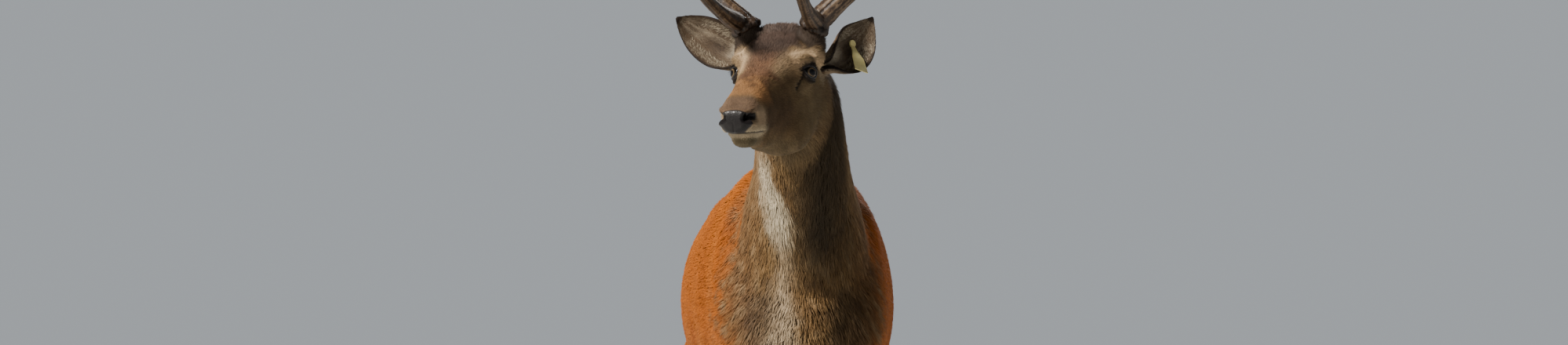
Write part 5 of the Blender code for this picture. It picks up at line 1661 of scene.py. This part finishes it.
for side, hand in HANDS:
    rng = np.random.default_rng(40 + side)
    few = 1
    count = 9500 // few
    share, turn = rng.uniform(0.03, 0.985, count), rng.uniform(-0.97, 0.97, count)
    roots, facing, along = ear_lie(side, share, turn, 0.16)
    rim = np.maximum(ramp(np.abs(turn), 0.80, 0.97), ramp(share, 0.88, 0.98))
    colours = over(plain_tint((0.190, 0.130, 0.080), count), (0.036, 0.024, 0.017), 0.85 * rim)
    colours = over(colours, (0.30, 0.23, 0.15), 0.5 * ramp(-share, -0.30, -0.05))
    size = 0.0080 - 0.0040 * rim
    sizes, unwrap = (size, size * 0.14, size * 0.10), ear_unwrap(0.02, share, turn)
    outside = grow("ear", roots, facing, along, sizes, colours, unwrap, rng, False)

    count = 8500 // few
    share, turn = rng.uniform(0.05, 0.985, count), rng.uniform(-0.98, 0.98, count)
    upper = turn * side * -1.0
    roots, facing, along = ear_lie(side, share * 0.995, turn, 0.86)
    streaks = ripple(np.column_stack([turn * 0.09, share * 0.03, turn * 0.05]), 0.020, 8 + side)
    colours = plain_tint((0.090, 0.061, 0.038), count)
    hollow = np.exp(-(((share - 0.50) / 0.13) ** 2) - ((upper - 0.05) / 0.55) ** 2)
    colours = over(colours, (0.050, 0.034, 0.022), 0.80 * hollow)
    pale = hump(upper, 0.20, 0.30) * (1 - ramp(share, 0.24, 0.44))
    colours = over(colours, (0.46, 0.40, 0.30), 0.90 * pale)
    tip_streaks = ramp(share, 0.58, 0.76) * np.clip(0.5 + streaks, 0, 1)
    colours = over(colours, (0.22, 0.180, 0.130), 0.60 * tip_streaks)
    colours = over(colours, (0.30, 0.25, 0.18), 0.35 * np.clip(streaks, 0, 1))
    rim = np.maximum(ramp(np.abs(turn), 0.86, 0.96), ramp(share, 0.93, 0.975))
    colours = over(colours, (0.040, 0.027, 0.020), 0.92 * rim)
    size = np.interp(share, [0.0, 0.8, 1.0], [0.011, 0.009, 0.005]) * (1 - 0.5 * rim)
    sizes, unwrap = (size, size * 0.14, size * 0.16), ear_unwrap(0.35, share, turn)
    lining = grow("ear", roots, -facing, along, sizes, colours, unwrap, rng, False, 0.35)

    count = 1100 // few
    share = rng.uniform(0.05, 0.78, count)
    edge = rng.choice((-1.0, 1.0), count)
    turn = edge * (1 - rng.uniform(0.08, 0.50, count))
    roots, facing, along = ear_lie(side, share, turn, 0.86)
    inwards = unit(np.cross(along, facing) * (edge * 0.60)[:, None] + along)
    brown = rng.uniform(0, 0.95, count)
    colours = over(plain_tint((0.34, 0.29, 0.21), count), (0.11, 0.08, 0.055), brown)
    size = rng.uniform(0.011, 0.022, count) * np.interp(share, [0.0, 0.78], [1.0, 0.5])
    sizes, unwrap = (size, np.full(count, 0.0010), size * 0.26), ear_unwrap(0.68, share, turn)
    fringe = grow("ear", roots, -facing, inwards, sizes, colours, unwrap, rng, False, 0.3)
    mesh = join_meshes(f"coat_ear_{hand}", [outside, lining, fringe])
    mesh.shade_smooth()
    pieces[mesh.name] = (new_piece(f"coat_ear_{hand}", mesh, coat_finish), "grey_brown_coat", [])

# ---- Placing -------------------------------------------------------------------------------
# Everything so far stands in the maker's own frame, with the middle of the chest near x = 0,
# y = 0. The left eye's solid gives the step to the shared frame.

flesh_nodes = ["head", "neck", "trunk", "tail", "nose", "ear_left", "ear_right"]
for pair in ("fore", "hind"):
    flesh_nodes += [f"{pair}leg_{hand}_{part}" for hand in ("left", "right") for part in ("upper", "lower")]
pieces["skin"] = (skin, "grey_brown_coat", flesh_nodes)
left_eye = sum(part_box("eye_left"), Vector()) / 2
SHIFT = left_eye - Vector(eye_frame(1)[0])
SHIFT.z = 0.0
for name, (piece, slot, parts) in pieces.items():
    piece.data.transform(Matrix.Translation(SHIFT))
    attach(piece, "root")
    if parts:
        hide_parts(*parts)

# ---- Studio --------------------------------------------------------------------------------
# A plain pale floor, a broad soft key high on the stag's right, a faint fill, a rim from behind,
# and a dim sky that pales towards the horizon.

floor_finish, tree, place = new_finish("floor")
dust = noise(place, 3.0, 6.0)
speck = noise(place, 140.0, 3.0)
paint = mixed(dust * 0.6 + speck * 0.4, (0.60, 0.60, 0.585), (0.68, 0.68, 0.665))
sand = bump(speck, 0.1, 0.001)
use_surface(principled(tree, {"Base Color": paint, "Roughness": 0.75, "Normal": sand}))
bpy.ops.object.select_all(action="DESELECT")
bpy.ops.mesh.primitive_plane_add(size=60.0)
floor = bpy.context.object
floor.name = "floor"
floor.data.materials.append(floor_finish)


def soft_light(name, place, target, size, power, colour):
    light = bpy.data.lights.new(name, "AREA")
    light.shape, light.size, light.energy, light.color = "DISK", size, power, colour
    lamp = placed(name, light)
    lamp.location = place
    lamp.rotation_euler = (target - place).to_track_quat("-Z", "Y").to_euler()


chest = SHIFT + Vector((0.0, 0.0, 1.1))
soft_light("key", Vector((-6.2, -5.4, 7.4)), chest, 2.0, 2000.0, (1.0, 0.95, 0.88))
soft_light("fill", Vector((4.5, -6.5, 6.0)), chest, 4.0, 10.0, (0.95, 0.97, 1.0))
soft_light("rim", Vector((3.5, 6.5, 5.5)), chest, 3.0, 260.0, (1.0, 0.97, 0.93))
world = bpy.data.worlds.new("sky")
world.use_nodes = True
tree = world.node_tree
ways = add_node(tree, "ShaderNodeTexCoord", output="Generated")
height = add_node(tree, "ShaderNodeSeparateXYZ", {0: ways}, 2)
low = fitted(height * height, 0.006, 0.045, 1.0, 0.0)
paper = mixed(low, (0.118, 0.121, 0.125), (0.380, 0.405, 0.430))
tree.links.new(paper.output, tree.nodes["Background"].inputs["Color"])
bpy.context.scene.world = world

# ---- Camera --------------------------------------------------------------------------------
# Nine and a half metres off and a little under chest height, in a wide low frame that cuts off
# the legs and the upper antlers.

view = bpy.data.cameras.new("camera")
view.sensor_width, view.lens = 36.0, 116.0
camera = placed("camera", view)
camera.location = SHIFT + Vector((-0.57, -9.58, 0.88))
camera.rotation_euler = (math.radians(91.869), 0.0, math.radians(-3.24))
bpy.context.scene.camera = camera
